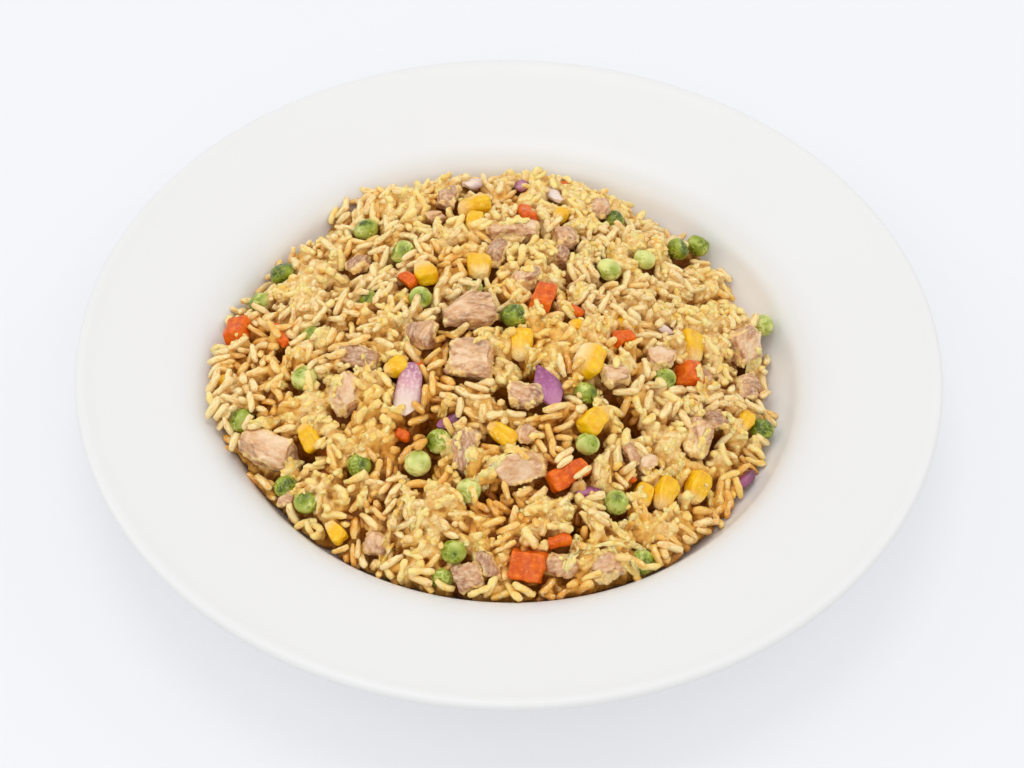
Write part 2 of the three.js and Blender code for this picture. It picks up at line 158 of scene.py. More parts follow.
def turned_body(name, profile, segments):
    """A closed body turned about the upright axis from a profile of (radius, height) points."""
    radius, height = profile[0]
    circle = bpy.ops.mesh.primitive_circle_add
    body = started_from(circle, vertices=segments, radius=radius, location=(0, 0, height))
    body.name = name
    bpy.ops.object.transform_apply(location=True, rotation=True, scale=True)
    bpy.ops.object.mode_set(mode="EDIT")
    bpy.ops.mesh.select_all(action="SELECT")
    for next_radius, next_height in profile[1:]:
        rise = {"value": (0, 0, next_height - height)}
        bpy.ops.mesh.extrude_region_move(TRANSFORM_OT_translate=rise)
        widening = next_radius / radius
        bpy.ops.transform.resize(value=(widening, widening, 1), center_override=(0, 0, 0))
        radius, height = next_radius, next_height
    bpy.ops.mesh.edge_face_add()
    bpy.ops.mesh.poke()
    bpy.ops.mesh.select_all(action="DESELECT")
    bpy.ops.mesh.select_non_manifold()
    bpy.ops.mesh.edge_face_add()
    bpy.ops.mesh.poke()
    bpy.ops.mesh.select_all(action="SELECT")
    bpy.ops.mesh.normals_make_consistent(inside=False)
    bpy.ops.object.mode_set(mode="OBJECT")
    bpy.ops.object.shade_smooth_by_angle(angle=math.radians(50))
    return body


def plain_material(name, roughness):
    """A new material, with the nodes and links that a finish is built from."""
    material = bpy.data.materials.new(name)
    material.use_nodes = True
    nodes = material.node_tree.nodes
    shader = nodes["Principled BSDF"]
    shader.inputs["Roughness"].default_value = roughness
    return material, nodes, material.node_tree.links, shader


# Fine variation between two colours, for glaze and food alike. The pattern has a place to read,
# a scale, and a balance from all of the first colour to all of the second.
mottle = bpy.data.node_groups.new("mottle", "ShaderNodeTree")
for socket_name, socket_type in (
    ("Place", "NodeSocketVector"),
    ("Scale", "NodeSocketFloat"),
    ("Balance", "NodeSocketFloat"),
    ("Spread", "NodeSocketFloat"),
    ("First", "NodeSocketColor"),
    ("Second", "NodeSocketColor"),
):
    mottle.interface.new_socket(socket_name, in_out="INPUT", socket_type=socket_type)
mottle.interface.new_socket("Color", in_out="OUTPUT", socket_type="NodeSocketColor")
mottle_in = mottle.nodes.new("NodeGroupInput")
mottle_out = mottle.nodes.new("NodeGroupOutput")
mottle_noise = mottle.nodes.new("ShaderNodeTexNoise")
mottle_noise.inputs["Detail"].default_value = 5
mottle_noise.inputs["Roughness"].default_value = 0.6
mottle_low = mottle.nodes.new("ShaderNodeMath")
mottle_low.operation = "SUBTRACT"
mottle_high = mottle.nodes.new("ShaderNodeMath")
mottle_high.operation = "ADD"
mottle_range = mottle.nodes.new("ShaderNodeMapRange")
mottle_mix = mottle.nodes.new("ShaderNodeMix")
mottle_mix.data_type = "RGBA"
for source, target in (
    (mottle_in.outputs["Place"], mottle_noise.inputs["Vector"]),
    (mottle_in.outputs["Scale"], mottle_noise.inputs["Scale"]),
    (mottle_in.outputs["Balance"], mottle_low.inputs[0]),
    (mottle_in.outputs["Spread"], mottle_low.inputs[1]),
    (mottle_in.outputs["Balance"], mottle_high.inputs[0]),
    (mottle_in.outputs["Spread"], mottle_high.inputs[1]),
    (mottle_noise.outputs["Fac"], mottle_range.inputs["Value"]),
    (mottle_low.outputs[0], mottle_range.inputs["From Min"]),
    (mottle_high.outputs[0], mottle_range.inputs["From Max"]),
    (mottle_range.outputs["Result"], mottle_mix.inputs["Factor"]),
    (mottle_in.outputs["First"], mottle_mix.inputs["A"]),
    (mottle_in.outputs["Second"], mottle_mix.inputs["B"]),
    (mottle_mix.outputs["Result"], mottle_out.inputs["Color"]),
):
    mottle.links.new(source, target)


def give_color(links, socket, color):
    """Sets a socket to a colour, or to what the socket that is handed in gives."""
    if isinstance(color, tuple):
        socket.default_value = (*color, 1)
    else:
        links.new(color, socket)


def blended(nodes, links, share, first, second):
    """The first colour where the share is 0, and the second where it is 1."""
    mix = nodes.new("ShaderNodeMix")
    mix.data_type = "RGBA"
    links.new(share, mix.inputs["Factor"])
    give_color(links, mix.inputs["A"], first)
    give_color(links, mix.inputs["B"], second)
    return mix.outputs["Result"]


def add_mottle(nodes, links, place, scale, balance, spread, first, second):
    """A mottle in a material. first and second are colours or the sockets that give them."""
    node = nodes.new("ShaderNodeGroup")
    node.node_tree = mottle
    links.new(place, node.inputs["Place"])
    node.inputs["Scale"].default_value = scale
    node.inputs["Balance"].default_value = balance
    node.inputs["Spread"].default_value = spread
    give_color(links, node.inputs["First"], first)
    give_color(links, node.inputs["Second"], second)
    return node.outputs["Color"]


def rough_surface(nodes, links, place, shader, scale, height, strength=0.7, detail=4):
    """A fine uneven surface for a finish."""
    grain = nodes.new("ShaderNodeTexNoise")
    grain.inputs["Scale"].default_value = scale
    grain.inputs["Detail"].default_value = detail
    links.new(place, grain.inputs["Vector"])
    bump = nodes.new("ShaderNodeBump")
    bump.inputs["Strength"].default_value = strength
    bump.inputs["Distance"].default_value = height
    links.new(grain.outputs["Fac"], bump.inputs["Height"])
    links.new(bump.outputs["Normal"], shader.inputs["Normal"])


plate = turned_body(
    "porcelain_plate",
    plate_face + lip_arc(80, -91, -17) + plate_underside + plate_foot + plate_base,
    plate_segments,
)
glaze, nodes, links, shader = plain_material("white_glaze", 0.3)
glaze_place = nodes.new("ShaderNodeTexCoord").outputs["Object"]
glaze_white = (0.79, 0.792, 0.79)
glaze_cream = (0.78, 0.78, 0.775)
# Painted light: the glaze in the well is whiter than on the flange, to lighten the shade that falls
# on the well's walls.
well_glaze_painted_light = (0.93, 0.94, 0.95)
from_middle = nodes.new("ShaderNodeVectorMath")
from_middle.operation = "LENGTH"
flattened = nodes.new("ShaderNodeVectorMath")
flattened.operation = "MULTIPLY"
flattened.inputs[1].default_value = (1, 1, 0)
links.new(glaze_place, flattened.inputs[0])
links.new(flattened.outputs["Vector"], from_middle.inputs[0])
in_well = nodes.new("ShaderNodeMapRange")
in_well.inputs["From Min"].default_value = well_radius + 3 * mm
in_well.inputs["From Max"].default_value = well_radius - 9 * mm
links.new(from_middle.outputs["Value"], in_well.inputs["Value"])
glaze_color = add_mottle(nodes, links, glaze_place, 14, 0.5, 0.2, glaze_white, glaze_cream)
glaze_color = blended(nodes, links, in_well.outputs["Result"], glaze_color, well_glaze_painted_light)
links.new(glaze_color, shader.inputs["Base Color"])
rough_surface(nodes, links, glaze_place, shader, 60, 0.2 * mm, 0.04, 2)
shader.inputs["Specular IOR Level"].default_value = 0.3
plate.data.materials.append(glaze)
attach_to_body(plate, "root")
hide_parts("plate")


# The lie of the heap. The rice is tipped into the well and settles as a low lumpy dome, and
# everything else lies in or on it, so its level is measured first, on a fine square map.
map_step = 0.5 * mm
map_half = 104 * mm
map_count = int(round(2 * map_half / map_step)) + 1
map_line = np.linspace(-map_half, map_half, map_count)
map_x, map_y = np.meshgrid(map_line, map_line, indexing="ij")
map_radius = np.hypot(map_x, map_y)
drop_height = 0.1


def tree_of(names):
    """A search tree over the solids of these nodes."""
    points = []
    triangles = []
    for name in names:
        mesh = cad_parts[name].data
        first = len(points)
        points += [vertex.co.copy() for vertex in mesh.vertices]
        triangles += [[first + index for index in face.vertices] for face in mesh.polygons]
    return BVHTree.FromPolygons(points, triangles)


def tops_under(tree):
    """Height of the first solid met from above at each place on the map, or none."""
    heights = np.full(map_x.shape, np.nan)
    for i, x in enumerate(map_line):
        for j, y in enumerate(map_line):
            if x * x + y * y > map_half * map_half:
                continue
            hit = tree.ray_cast((x, y, drop_height), (0, 0, -1))[0]
            if hit is not None:
                heights[i, j] = hit.z
    return heights


def blurred(values, reach):
    """A map softened over a reach."""
    spread = np.exp(-0.5 * ((map_line[:, None] - map_line[None, :]) / reach) ** 2)
    spread /= spread.sum(axis=1, keepdims=True)
    return spread @ values @ spread.T


def levelled(start, is_used, values, reaches, least):
    """A map smoothed over ever shorter reaches, in mm, from the cells in use alone. Where less
    than the least share of the cells around is in use, it stays as it was."""
    level = start
    for reach in reaches:
        share = blurred(is_used.astype(float), reach * mm)
        smooth = blurred(np.where(is_used, values, 0), reach * mm) / np.maximum(share, 1e-6)
        level = np.where(share > least, smooth, level)
    return level


def look_up(values, x, y):
    """Values of a map at places, found straight between its cells."""
    column = np.clip((np.asarray(x) + map_half) / map_step, 0, map_count - 1.001)
    row = np.clip((np.asarray(y) + map_half) / map_step, 0, map_count - 1.001)
    i = column.astype(int)
    j = row.astype(int)
    u = column - i
    v = row - j
    near = values[i, j] * (1 - u) + values[i + 1, j] * u
    far = values[i, j + 1] * (1 - u) + values[i + 1, j + 1] * u
    return near * (1 - v) + far * v


topping_nodes = sorted(set(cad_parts) - {"plate", "rice"})
rice_tops = tops_under(tree_of(["rice"]))
topping_tops = tops_under(tree_of(topping_nodes))
is_heap = ~np.isnan(rice_tops) | ~np.isnan(topping_tops)
is_beside = blurred((~np.isnan(topping_tops)).astype(float), 0.6 * mm) > 0.02
is_known = ~np.isnan(rice_tops) & ~is_beside
heap_level = levelled(np.zeros(map_x.shape), is_known, rice_tops, (9, 4.5, 2.2), 0.15)
face_radii, face_heights = zip(*plate_face)
plate_level = np.interp(map_radius, face_radii, face_heights)


def heap_normal(x, y):
    """The way that the heap faces at a place."""
    step = 3 * mm
    slope_x = (look_up(heap_level, x + step, y) - look_up(heap_level, x - step, y)) / (2 * step)
    slope_y = (look_up(heap_level, x, y + step) - look_up(heap_level, x, y - step)) / (2 * step)
    return Vector((-slope_x, -slope_y, 1)).normalized()


# The chicken. Bite-sized pieces of cooked breast and thigh, cut and torn along the fibre, pale
# and pinkish inside and browned where they met the pan. They are tossed through the rice.


def node_points(node):
    """The points of a node's solid as an array."""
    return np.array([vertex.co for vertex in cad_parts[node].data.vertices])


def place_of_node(node):
    """The matrix that carries a form of half size 1 to the place and size of a node's solid.
    Its length points to the back, and its upright is the way that the heap faces there."""
    points = np.unique(node_points(node).round(6), axis=0)
    middle = (points.min(axis=0) + points.max(axis=0)) / 2
    upright = np.array(heap_normal(middle[0], middle[1]))
    level = points - middle
    level -= np.outer(level @ upright, upright)
    along = np.linalg.svd(level - level.mean(axis=0), full_matrices=False)[2][0]
    if along[1] < 0:
        along = -along
    across = np.cross(upright, along)
    axes = np.array([along, across, upright])
    reach = (points - middle) @ axes.T
    half = (reach.max(axis=0) - reach.min(axis=0)) / 2
    middle = middle + axes.T @ ((reach.max(axis=0) + reach.min(axis=0)) / 2)
    place = Matrix.Identity(4)
    for i in range(3):
        for j in range(3):
            place[j][i] = axes[i][j] * half[i]
        place[i][3] = middle[i]
    return place


def place_on_heap(x, y, length, width, height, turn, lift):
    """The same matrix for a piece laid on the heap: sizes and places in mm, turn in degrees."""
    normal = heap_normal(x * mm, y * mm)
    lean = Vector((0, 0, 1)).rotation_difference(normal)
    spin = Matrix.Rotation(math.radians(turn), 4, "Z")
    size = Matrix.Diagonal((length * mm / 2, width * mm / 2, height * mm / 2, 1))
    level = float(look_up(heap_level, x * mm, y * mm))
    spot = Vector((x * mm, y * mm, level)) + normal * lift * mm
    return Matrix.Translation(spot) @ lean.to_matrix().to_4x4() @ spin @ size


def points_of(piece):
    """The places of a piece's points as an array."""
    values = np.empty(len(piece.data.vertices) * 3)
    piece.data.vertices.foreach_get("co", values)
    return values.reshape(-1, 3)


def move_points(piece, values):
    """Gives a piece's points new places."""
    piece.data.vertices.foreach_set("co", values.ravel())
    piece.data.update()


def keep_value(piece, name, values):
    """Stores a number or a vector at each point of a piece, for its finish to read."""
    kind = "FLOAT" if values.ndim == 1 else "FLOAT_VECTOR"
    field = "value" if values.ndim == 1 else "vector"
    attribute = piece.data.attributes.new(name, kind, "POINT")
    attribute.data.foreach_set(field, values.astype(np.float32).ravel())


def outward(piece):
    """The way that each point of a piece faces."""
    values = np.empty(len(piece.data.vertices) * 3, dtype=np.float32)
    piece.data.vertex_normals.foreach_get("vector", values)
    return values.reshape(-1, 3).astype(float)


def push_out(piece, relief):
    """Moves each point of a piece the way that it faces, by so many mm."""
    move_points(piece, points_of(piece) + outward(piece) * relief[:, None] * mm)


def half_size(place):
    """Half the length, width and height of a form that is carried to a place, in mm."""
    return np.array([place.col[i].xyz.length for i in range(3)]) / mm


def in_form(points, place):
    """Points in the frame of the form of half size 1 that is carried to a place."""
    back_to_form = np.array(place.inverted())
    return points @ back_to_form[:3, :3].T + back_to_form[:3, 3]


def local_points(piece, place):
    """A piece's points in its own frame, in mm: length, width and height."""
    return in_form(points_of(piece), place) * half_size(place)


def waves(points, scale, seed):
    """Smooth noise from -1 to 1 at each point. scale is the number of waves for each mm."""
    shift = Vector((17.3 * seed, 5.1 * seed, 9.7 * seed))
    stretch = Vector(scale) if isinstance(scale, tuple) else Vector((scale,) * 3)
    return np.array([noise.noise(Vector(point) * stretch + shift) for point in points])


def attach(piece, name, material, node=None):
    """Names a finished piece, gives it its finish and ties it to the frame."""
    piece.name = name
    piece.data.name = name
    piece.data.materials.append(material)
    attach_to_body(piece, "root")
    if node:
        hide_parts(node)
    return piece


def apply_modifier(piece, kind, **settings):
    """Gives the selected piece a modifier with these settings and applies it."""
    modifier = piece.modifiers.new(kind.lower(), kind)
    for setting, value in settings.items():
        setattr(modifier, setting, value)
    bpy.ops.object.modifier_apply(modifier=modifier.name)


def jitter(draw, amount):
    """A small random step."""
    return Vector([draw.uniform(-amount, amount) for _ in range(3)])


def cut_chunk(place, seed, voxel):
    """A block with its corners cut off and some sides cut aslant, as a knife leaves meat."""
    draw = random.Random(seed)
    chunk = started_from(bpy.ops.mesh.primitive_cube_add, size=2)
    bpy.ops.object.mode_set(mode="EDIT")
    corners = [Vector((a, b, c)) for a in (-1, 1) for b in (-1, 1) for c in (-1, 1)]
    cuts = [(corner + jitter(draw, 0.5), draw.uniform(1.02, 1.3)) for corner in corners]
    sides = [Vector((1, 0, 0)), Vector((-1, 0, 0)), Vector((0, 1, 0)), Vector((0, 0, 1))]
    cuts += [(side + jitter(draw, 0.4), draw.uniform(0.82, 1.02)) for side in sides]
    for direction, reach in cuts:
        facing = direction.normalized()
        bpy.ops.mesh.select_all(action="SELECT")
        bpy.ops.mesh.bisect(
            plane_co=facing * reach, plane_no=facing, use_fill=True, clear_outer=True
        )
    bpy.ops.mesh.select_all(action="SELECT")
    bpy.ops.mesh.normals_make_consistent(inside=False)
    bpy.ops.mesh.subdivide(number_cuts=5)
    bpy.ops.object.mode_set(mode="OBJECT")
    block = points_of(chunk)
    move_points(chunk, block * np.linalg.norm(block, axis=1)[:, None] ** -0.16)
    chunk.data.transform(place)
    chunk.data.remesh_voxel_size = voxel
    bpy.ops.object.voxel_remesh()
    apply_modifier(chunk, "SMOOTH", factor=0.6, iterations=11)
    return chunk


def chicken_piece(place, tone, seed):
    """A piece of chicken with torn fibres along its length and a crumbly surface."""
    chunk = cut_chunk(place, seed, 0.42 * mm)
    local = local_points(chunk, place)
    angle = random.Random(seed + 1).uniform(-0.6, 0.6)
    turned = local.copy()
    turned[:, 0] = local[:, 0] * math.cos(angle) + local[:, 1] * math.sin(angle)
    turned[:, 1] = local[:, 1] * math.cos(angle) - local[:, 0] * math.sin(angle)
    turned[:, 1] += 1.5 * waves(local, 0.12, seed + 11)
    turned[:, 2] += 1.5 * waves(local, 0.12, seed + 13)
    lumps = waves(turned, 0.17, seed)
    fibres = waves(turned, (0.24, 0.5, 0.5), seed + 3)
    strands = waves(turned, (0.6, 1.3, 1.3), seed + 7)
    crumbs = waves(turned, 0.8, seed + 5)
    torn = np.clip(waves(turned, (0.2, 0.34, 0.34), seed + 9) * 3 - 0.7, 0, 1)
    flakes = 1 - np.abs(waves(turned, (0.4, 0.8, 0.8), seed + 15)) * 3
    folds = 1 - np.abs(waves(turned, (0.05, 0.11, 0.11), seed + 17)) * 7
    folds = np.clip(folds, 0, 1) ** 2
    share = local[:, :2] / half_size(place)[:2]
    rim = np.clip(2.2 * (share ** 4).sum(axis=1) - 0.9, 0, 1)
    crust = np.clip(rim * (0.5 + 3.2 * waves(turned, 0.28, seed + 19)), 0, 1)
    bumps = np.abs(waves(turned, 1.0, seed + 21))
    relief = 1.4 * lumps + 0.16 * fibres + 0.26 * crumbs - (0.3 + rim) * torn
    relief += 1.2 * crust * bumps - 0.1 * np.clip(flakes, 0, 1) ** 2 - 0.45 * folds
    push_out(chunk, relief)
    keep_value(chunk, "place", turned)
    bearing = random.Random(seed + 2).uniform(0, 2 * math.pi)
    skin_side = np.array([math.cos(bearing), math.sin(bearing), 0.2])
    skin = np.clip(outward(chunk) @ skin_side - 0.35, 0, 1)
    # The tone is browning from the pan with painted shade added: darker on the sides and underside,
    # which face away from the heap's upright, and in the creases of the folds.
    upright = np.array(place.col[2].xyz.normalized())
    side = np.clip(0.7 - outward(chunk) @ upright, 0, 1)
    browning_and_shade = tone + 0.1 + 0.75 * lumps + 0.3 * torn + 0.35 * fibres + 0.06 * strands + 0.5 * skin
    browning_and_shade += 0.4 * folds + 0.5 * side + 0.16 * rim
    keep_value(chunk, "tone", np.clip(browning_and_shade, 0, 1))
    keep_value(chunk, "crust", np.clip(crust * 2.2 - 0.5 * bumps, 0, 1))
    for face in chunk.data.polygons:
        face.use_smooth = True
    return chunk


def stored(nodes, name):
    """What a finish reads of a value that is kept at each point of a piece."""
    node = nodes.new("ShaderNodeAttribute")
    node.attribute_name = name
    return node.outputs


def color_ramp(nodes, links, value, first, last, between=()):
    """Colours along a value from 0 to 1. between is the place and colour of each stop inside."""
    ramp = nodes.new("ShaderNodeValToRGB")
    ramp.color_ramp.elements[0].color = (*first, 1)
    ramp.color_ramp.elements[1].color = (*last, 1)
    for position, color in between:
        stop = ramp.color_ramp.elements.new(position)
        stop.color = (*color, 1)
    links.new(value, ramp.inputs["Fac"])
    return ramp


def moist(shader, weight, reach, depth, coat, coat_roughness, specular=0.5):
    """Lets light sink in through a wet skin. reach is how far each colour goes, times depth."""
    for socket, value in (
        ("Subsurface Weight", weight),
        ("Subsurface Radius", reach),
        ("Subsurface Scale", depth),
        ("Coat Weight", coat),
        ("Coat Roughness", coat_roughness),
        ("Specular IOR Level", specular),
    ):
        shader.inputs[socket].default_value = value


# Browning of each piece, from 0 for pale meat to 1 for well browned
chicken_tones = (
    0.32, 0.46, 0.18, 0.9, 0.06, 0.04, 0.74, 0.08, 0.1, 0.4, 0.2, 0.2, 0.9, 0.28, 0.2, 0.3,
    0.16, 0.56,
)
# The small pieces that the rice half hides: place, size, turn and lift in mm and degrees, tone
small_chicken = (
    (-22.5, 65.5, 11, 7, 6, 80, 0.4, 0.6), (30.5, 65, 9, 8, 6, 40, 0.6, 0.3),
    (48.5, -8.5, 10, 8, 6, 10, 0.8, 0.24), (33, -20, 9, 6.5, 6, 20, 0.6, 0.22),
    (5, -32, 10, 7.5, 6, -20, 0.8, 0.36), (-40, -74.5, 8, 7, 6, 80, 0.6, 0.14),
    (43, -47, 8, 5.5, 5, 60, 0.6, 0.05), (-50.5, 33, 9, 6, 5, 20, 0.2, 0.85),
    (5.6, -44.4, 7.5, 6, 5, 40, 1.2, 0.22), (-68.1, -57.2, 6.5, 5, 5, -10, 0.8, 0.36),
    (-5.3, -82.7, 10, 5, 5, -60, 1.2, 0.6), (17, 33, 8, 5.5, 5, 60, 0.4, 0.8),
    (63, -8, 8, 5, 5, -40, 0.4, 0.4), (66, -24, 9, 6, 5, 30, 0.8, 0.66),
    (-26, 56, 6.5, 5, 4.5, 30, 0.8, 0.3), (38, -46, 8, 3.6, 4, -64, 1, 0.36),
)
chicken, nodes, links, shader = plain_material("cooked_chicken", 0.42)
chicken_ramp = color_ramp(
    nodes, links, stored(nodes, "tone")["Fac"], (0.92, 0.70, 0.46), (0.24, 0.075, 0.025),
    ((0.34, (0.74, 0.42, 0.185)), (0.64, (0.48, 0.20, 0.06))),
)
chicken_ramp.color_ramp.interpolation = "EASE"
chicken_place = stored(nodes, "place")["Vector"]
fibre_stretch = nodes.new("ShaderNodeMapping")
fibre_stretch.inputs["Scale"].default_value = (0.45, 1, 1)
links.new(chicken_place, fibre_stretch.inputs["Vector"])
along_fibre = fibre_stretch.outputs["Vector"]
chicken_color = add_mottle(
    nodes, links, along_fibre, 0.6, 0.56, 0.3, chicken_ramp.outputs["Color"], (0.70, 0.37, 0.17)
)
chicken_streaks = add_mottle(
    nodes, links, along_fibre, 1.1, 0.62, 0.2, chicken_color, (0.93, 0.72, 0.47)
)
crust_color = add_mottle(
    nodes, links, chicken_place, 0.9, 0.5, 0.15, (0.84, 0.50, 0.14), (0.98, 0.78, 0.38)
)
links.new(
    blended(nodes, links, stored(nodes, "crust")["Fac"], chicken_streaks, crust_color),
    shader.inputs["Base Color"],
)
moist(shader, 0.25, (1, 0.45, 0.25), 1.6 * mm, 0.4, 0.25)
rough_surface(nodes, links, along_fibre, shader, 2.4, 0.22 * mm, 0.6, 6)

toppings = []
for i, tone in enumerate(chicken_tones):
    node = f"chicken_{i + 1:02d}"
    piece = chicken_piece(place_of_node(node), tone, 11 + 7 * i)
    toppings.append(attach(piece, f"cooked_{node}", chicken, node))
for i, (*row, tone) in enumerate(small_chicken):
    piece = chicken_piece(place_on_heap(*row), tone, 311 + 7 * i)
    toppings.append(attach(piece, f"small_chicken_{i + 1:02d}", chicken))


# The red onion. Petals and slivers of one, softened in the pan: thin curved shells, purple on
# the skin side and along the edges, and fading to pink and white.


def onion_piece(place, seed, taper, bluntness, crown=1.0):
    """A curved petal. A low taper gives straight sloping edges and a high one a full outline,
    and a low crown a flatter petal."""
    grid = bpy.ops.mesh.primitive_grid_add
    petal = started_from(grid, x_subdivisions=18, y_subdivisions=10, size=2)
    x, y, _ = points_of(petal).T
    width = np.clip(1 - np.abs(x) ** taper, 0.06, 1) ** bluntness
    across = y * width * (1 + 0.08 * np.sin(3 * x + seed))
    rise = 0.62 - crown * (1.25 * across ** 2 + 0.3 * x ** 2) + 0.06 * np.sin(5 * x + 2 * y + seed)
    move_points(petal, np.column_stack([x, across, rise]))
    petal.data.transform(place)
    apply_modifier(petal, "SOLIDIFY", thickness=1.7 * mm, offset=-1)
    apply_modifier(petal, "SUBSURF", levels=2, render_levels=2)
    local = local_points(petal, place)
    ripple = waves(local, 0.3, seed)
    veins = waves(local, (0.12, 1.6, 1.2), seed + 2)
    push_out(petal, 0.3 * ripple + 0.07 * veins)
    keep_value(petal, "place", local)
    share = local[:, :2] / half_size(place)[:2]
    keep_value(petal, "share", np.column_stack([share, ripple]))
    bpy.ops.object.shade_smooth()
    return petal


def onion_finish(name, purple, middle, pale, fade, edge_start=0.62):
    """A petal's finish: one colour at the back end, another in front, with darker edges that
    start at a share of its half width."""
    material, nodes, links, shader = plain_material(name, 0.3)
    parts = nodes.new("ShaderNodeSeparateXYZ")
    links.new(stored(nodes, "share")["Vector"], parts.inputs["Vector"])
    position = nodes.new("ShaderNodeMapRange")
    position.inputs["From Min"].default_value = fade - 0.8
    position.inputs["From Max"].default_value = fade + 0.8
    links.new(parts.outputs["X"], position.inputs["Value"])
    ramp = color_ramp(nodes, links, position.outputs["Result"], pale, purple, ((0.5, middle),))
    edge = nodes.new("ShaderNodeMath")
    edge.operation = "ABSOLUTE"
    links.new(parts.outputs["Y"], edge.inputs[0])
    edge_range = nodes.new("ShaderNodeMapRange")
    edge_range.inputs["From Min"].default_value = edge_start
    edge_range.inputs["From Max"].default_value = 1
    edge_range.inputs["To Max"].default_value = 0.9
    links.new(edge.outputs[0], edge_range.inputs["Value"])
    place = stored(nodes, "place")["Vector"]
    streaked = add_mottle(nodes, links, place, 0.9, 0.6, 0.14, ramp.outputs["Color"], pale)
    dark_edge = tuple(0.5 * part for part in purple)
    edged = blended(nodes, links, edge_range.outputs["Result"], streaked, dark_edge)
    links.new(edged, shader.inputs["Base Color"])
    moist(shader, 0.15, (1, 0.5, 0.8), 1.2 * mm, 0.3, 0.15)
    return material


onion_white = (0.86, 0.72, 0.62)
onion_pink = (0.66, 0.30, 0.33)
onion_purple = (0.34, 0.09, 0.20)
onion_dark = (0.13, 0.035, 0.07)
fading_onion = onion_finish("fading_onion", (0.36, 0.07, 0.20), (0.68, 0.32, 0.36), onion_white, 0.2)
purple_onion = onion_finish(
    "purple_onion", (0.28, 0.05, 0.16), (0.42, 0.11, 0.28), (0.54, 0.22, 0.34), -0.1, 0.35
)
dark_onion = onion_finish("dark_onion", onion_dark, onion_purple, onion_purple, -0.2)
pale_onion = onion_finish("pale_onion", onion_pink, (0.78, 0.60, 0.56), onion_white, 0.4)
for i, (material, taper, bluntness, crown, widening) in enumerate((
    (fading_onion, 2.8, 0.55, 0.8, 1.1), (purple_onion, 1.05, 0.85, 0.35, 1.35),
    (pale_onion, 2.6, 0.6, 0.8, 1.1),
)):
    node = f"onion_{i + 1:02d}"
    place = place_of_node(node) @ Matrix.Diagonal((1, widening, 1, 1))
    piece = onion_piece(place, 3 + 5 * i, taper, bluntness, crown)
    toppings.append(attach(piece, f"cooked_{node}", material, node))
small_onion = (
    (3.5, 77, 10, 7, 4, 90, 2, purple_onion), (76, -40.5, 9, 5, 4, 50, 1, dark_onion),
    (-13, 77.4, 10, 7, 4, 20, 2, pale_onion), (-18.7, -38.5, 8, 5, 4, 30, 0.2, dark_onion),
    (24.9, -59.8, 8, 4.5, 4, 10, 0.6, purple_onion), (50.1, 6.2, 7, 4, 4, -20, 0.8, pale_onion),
)
for i, (*row, material) in enumerate(small_onion):
    piece = onion_piece(place_on_heap(*row), 31 + 5 * i, 2, 0.7)
    toppings.append(attach(piece, f"small_onion_{i + 1:02d}", material))


# The carrot. Small dice cut from a cooked carrot, moist and bright, with softened edges.


def carrot_piece(place, seed):
    """A block that is a little narrower at one end, with its edges rounded."""
    draw = random.Random(seed)
    dice = started_from(bpy.ops.mesh.primitive_cube_add, size=2)
    bpy.ops.object.mode_set(mode="EDIT")
    for axis in range(3):
        bpy.ops.mesh.select_all(action="DESELECT")
        bpy.ops.object.mode_set(mode="OBJECT")
        for face in dice.data.polygons:
            face.select = face.normal[axis] > 0.9
        bpy.ops.object.mode_set(mode="EDIT")
        narrowing = draw.uniform(0.84, 0.97)
        bpy.ops.transform.resize(value=(narrowing, narrowing, 1 if axis == 2 else narrowing))
    bpy.ops.object.mode_set(mode="OBJECT")
    dice.data.transform(place)
    apply_modifier(dice, "BEVEL", width=1.1 * mm, segments=2)
    apply_modifier(dice, "SUBSURF", levels=3, render_levels=3)
    local = local_points(dice, place)
    swell = waves(local, 0.22, seed)
    pores = waves(local, 1.1, seed + 4)
    push_out(dice, 0.9 * swell + 0.16 * pores)
    keep_value(dice, "place", local)
    bpy.ops.object.shade_smooth()
    return dice


carrot, nodes, links, shader = plain_material("cooked_carrot", 0.32)
carrot_place = stored(nodes, "place")["Vector"]
carrot_color = add_mottle(
    nodes, links, carrot_place, 0.35, 0.5, 0.2, (0.58, 0.058, 0.0015), (0.92, 0.20, 0.006)
)
carrot_flecks = add_mottle(
    nodes, links, carrot_place, 0.8, 0.68, 0.14, carrot_color, (0.94, 0.33, 0.05)
)
links.new(carrot_flecks, shader.inputs["Base Color"])
moist(shader, 0.3, (1, 0.3, 0.1), 1.5 * mm, 0.15, 0.15, 0.25)
for i in range(6):
    node = f"carrot_{i + 1:02d}"
    piece = carrot_piece(place_of_node(node), 5 + 3 * i)
    toppings.append(attach(piece, f"cooked_{node}", carrot, node))
small_carrot = (
    (-74, -1, 13, 4, 4, -64, 0.8), (-33, 17, 8, 4.5, 4, -60, 0.4), (36.5, -4, 8, 5, 5, 20, 0.4),
    (16, -77.5, 8, 4, 4, 20, 0.6), (20.2, 5.7, 8, 3, 3.5, -30, 0.8),
    (-28.7, -20, 6, 4, 4, 30, 0.4), (-32.8, -41.3, 6, 4, 4, -20, 0.2), (18, 83, 6, 4, 4, 10, 0.6),
    (39, -53, 3, 2.4, 3, 0, 0.8),
)
for i, row in enumerate(small_carrot):
    piece = carrot_piece(place_on_heap(*row), 41 + 3 * i)
    toppings.append(attach(piece, f"small_carrot_{i + 1:02d}", carrot))


# The sweetcorn. Cooked kernels, each a rounded wedge with a glossy skin, a shallow dimple in
# its crown and a paler tip where it was cut from the cob.
kernel_form = started_from(bpy.ops.mesh.primitive_cube_add, size=2)
bpy.ops.object.mode_set(mode="EDIT")
bpy.ops.mesh.select_all(action="SELECT")
bpy.ops.mesh.subdivide(number_cuts=1)


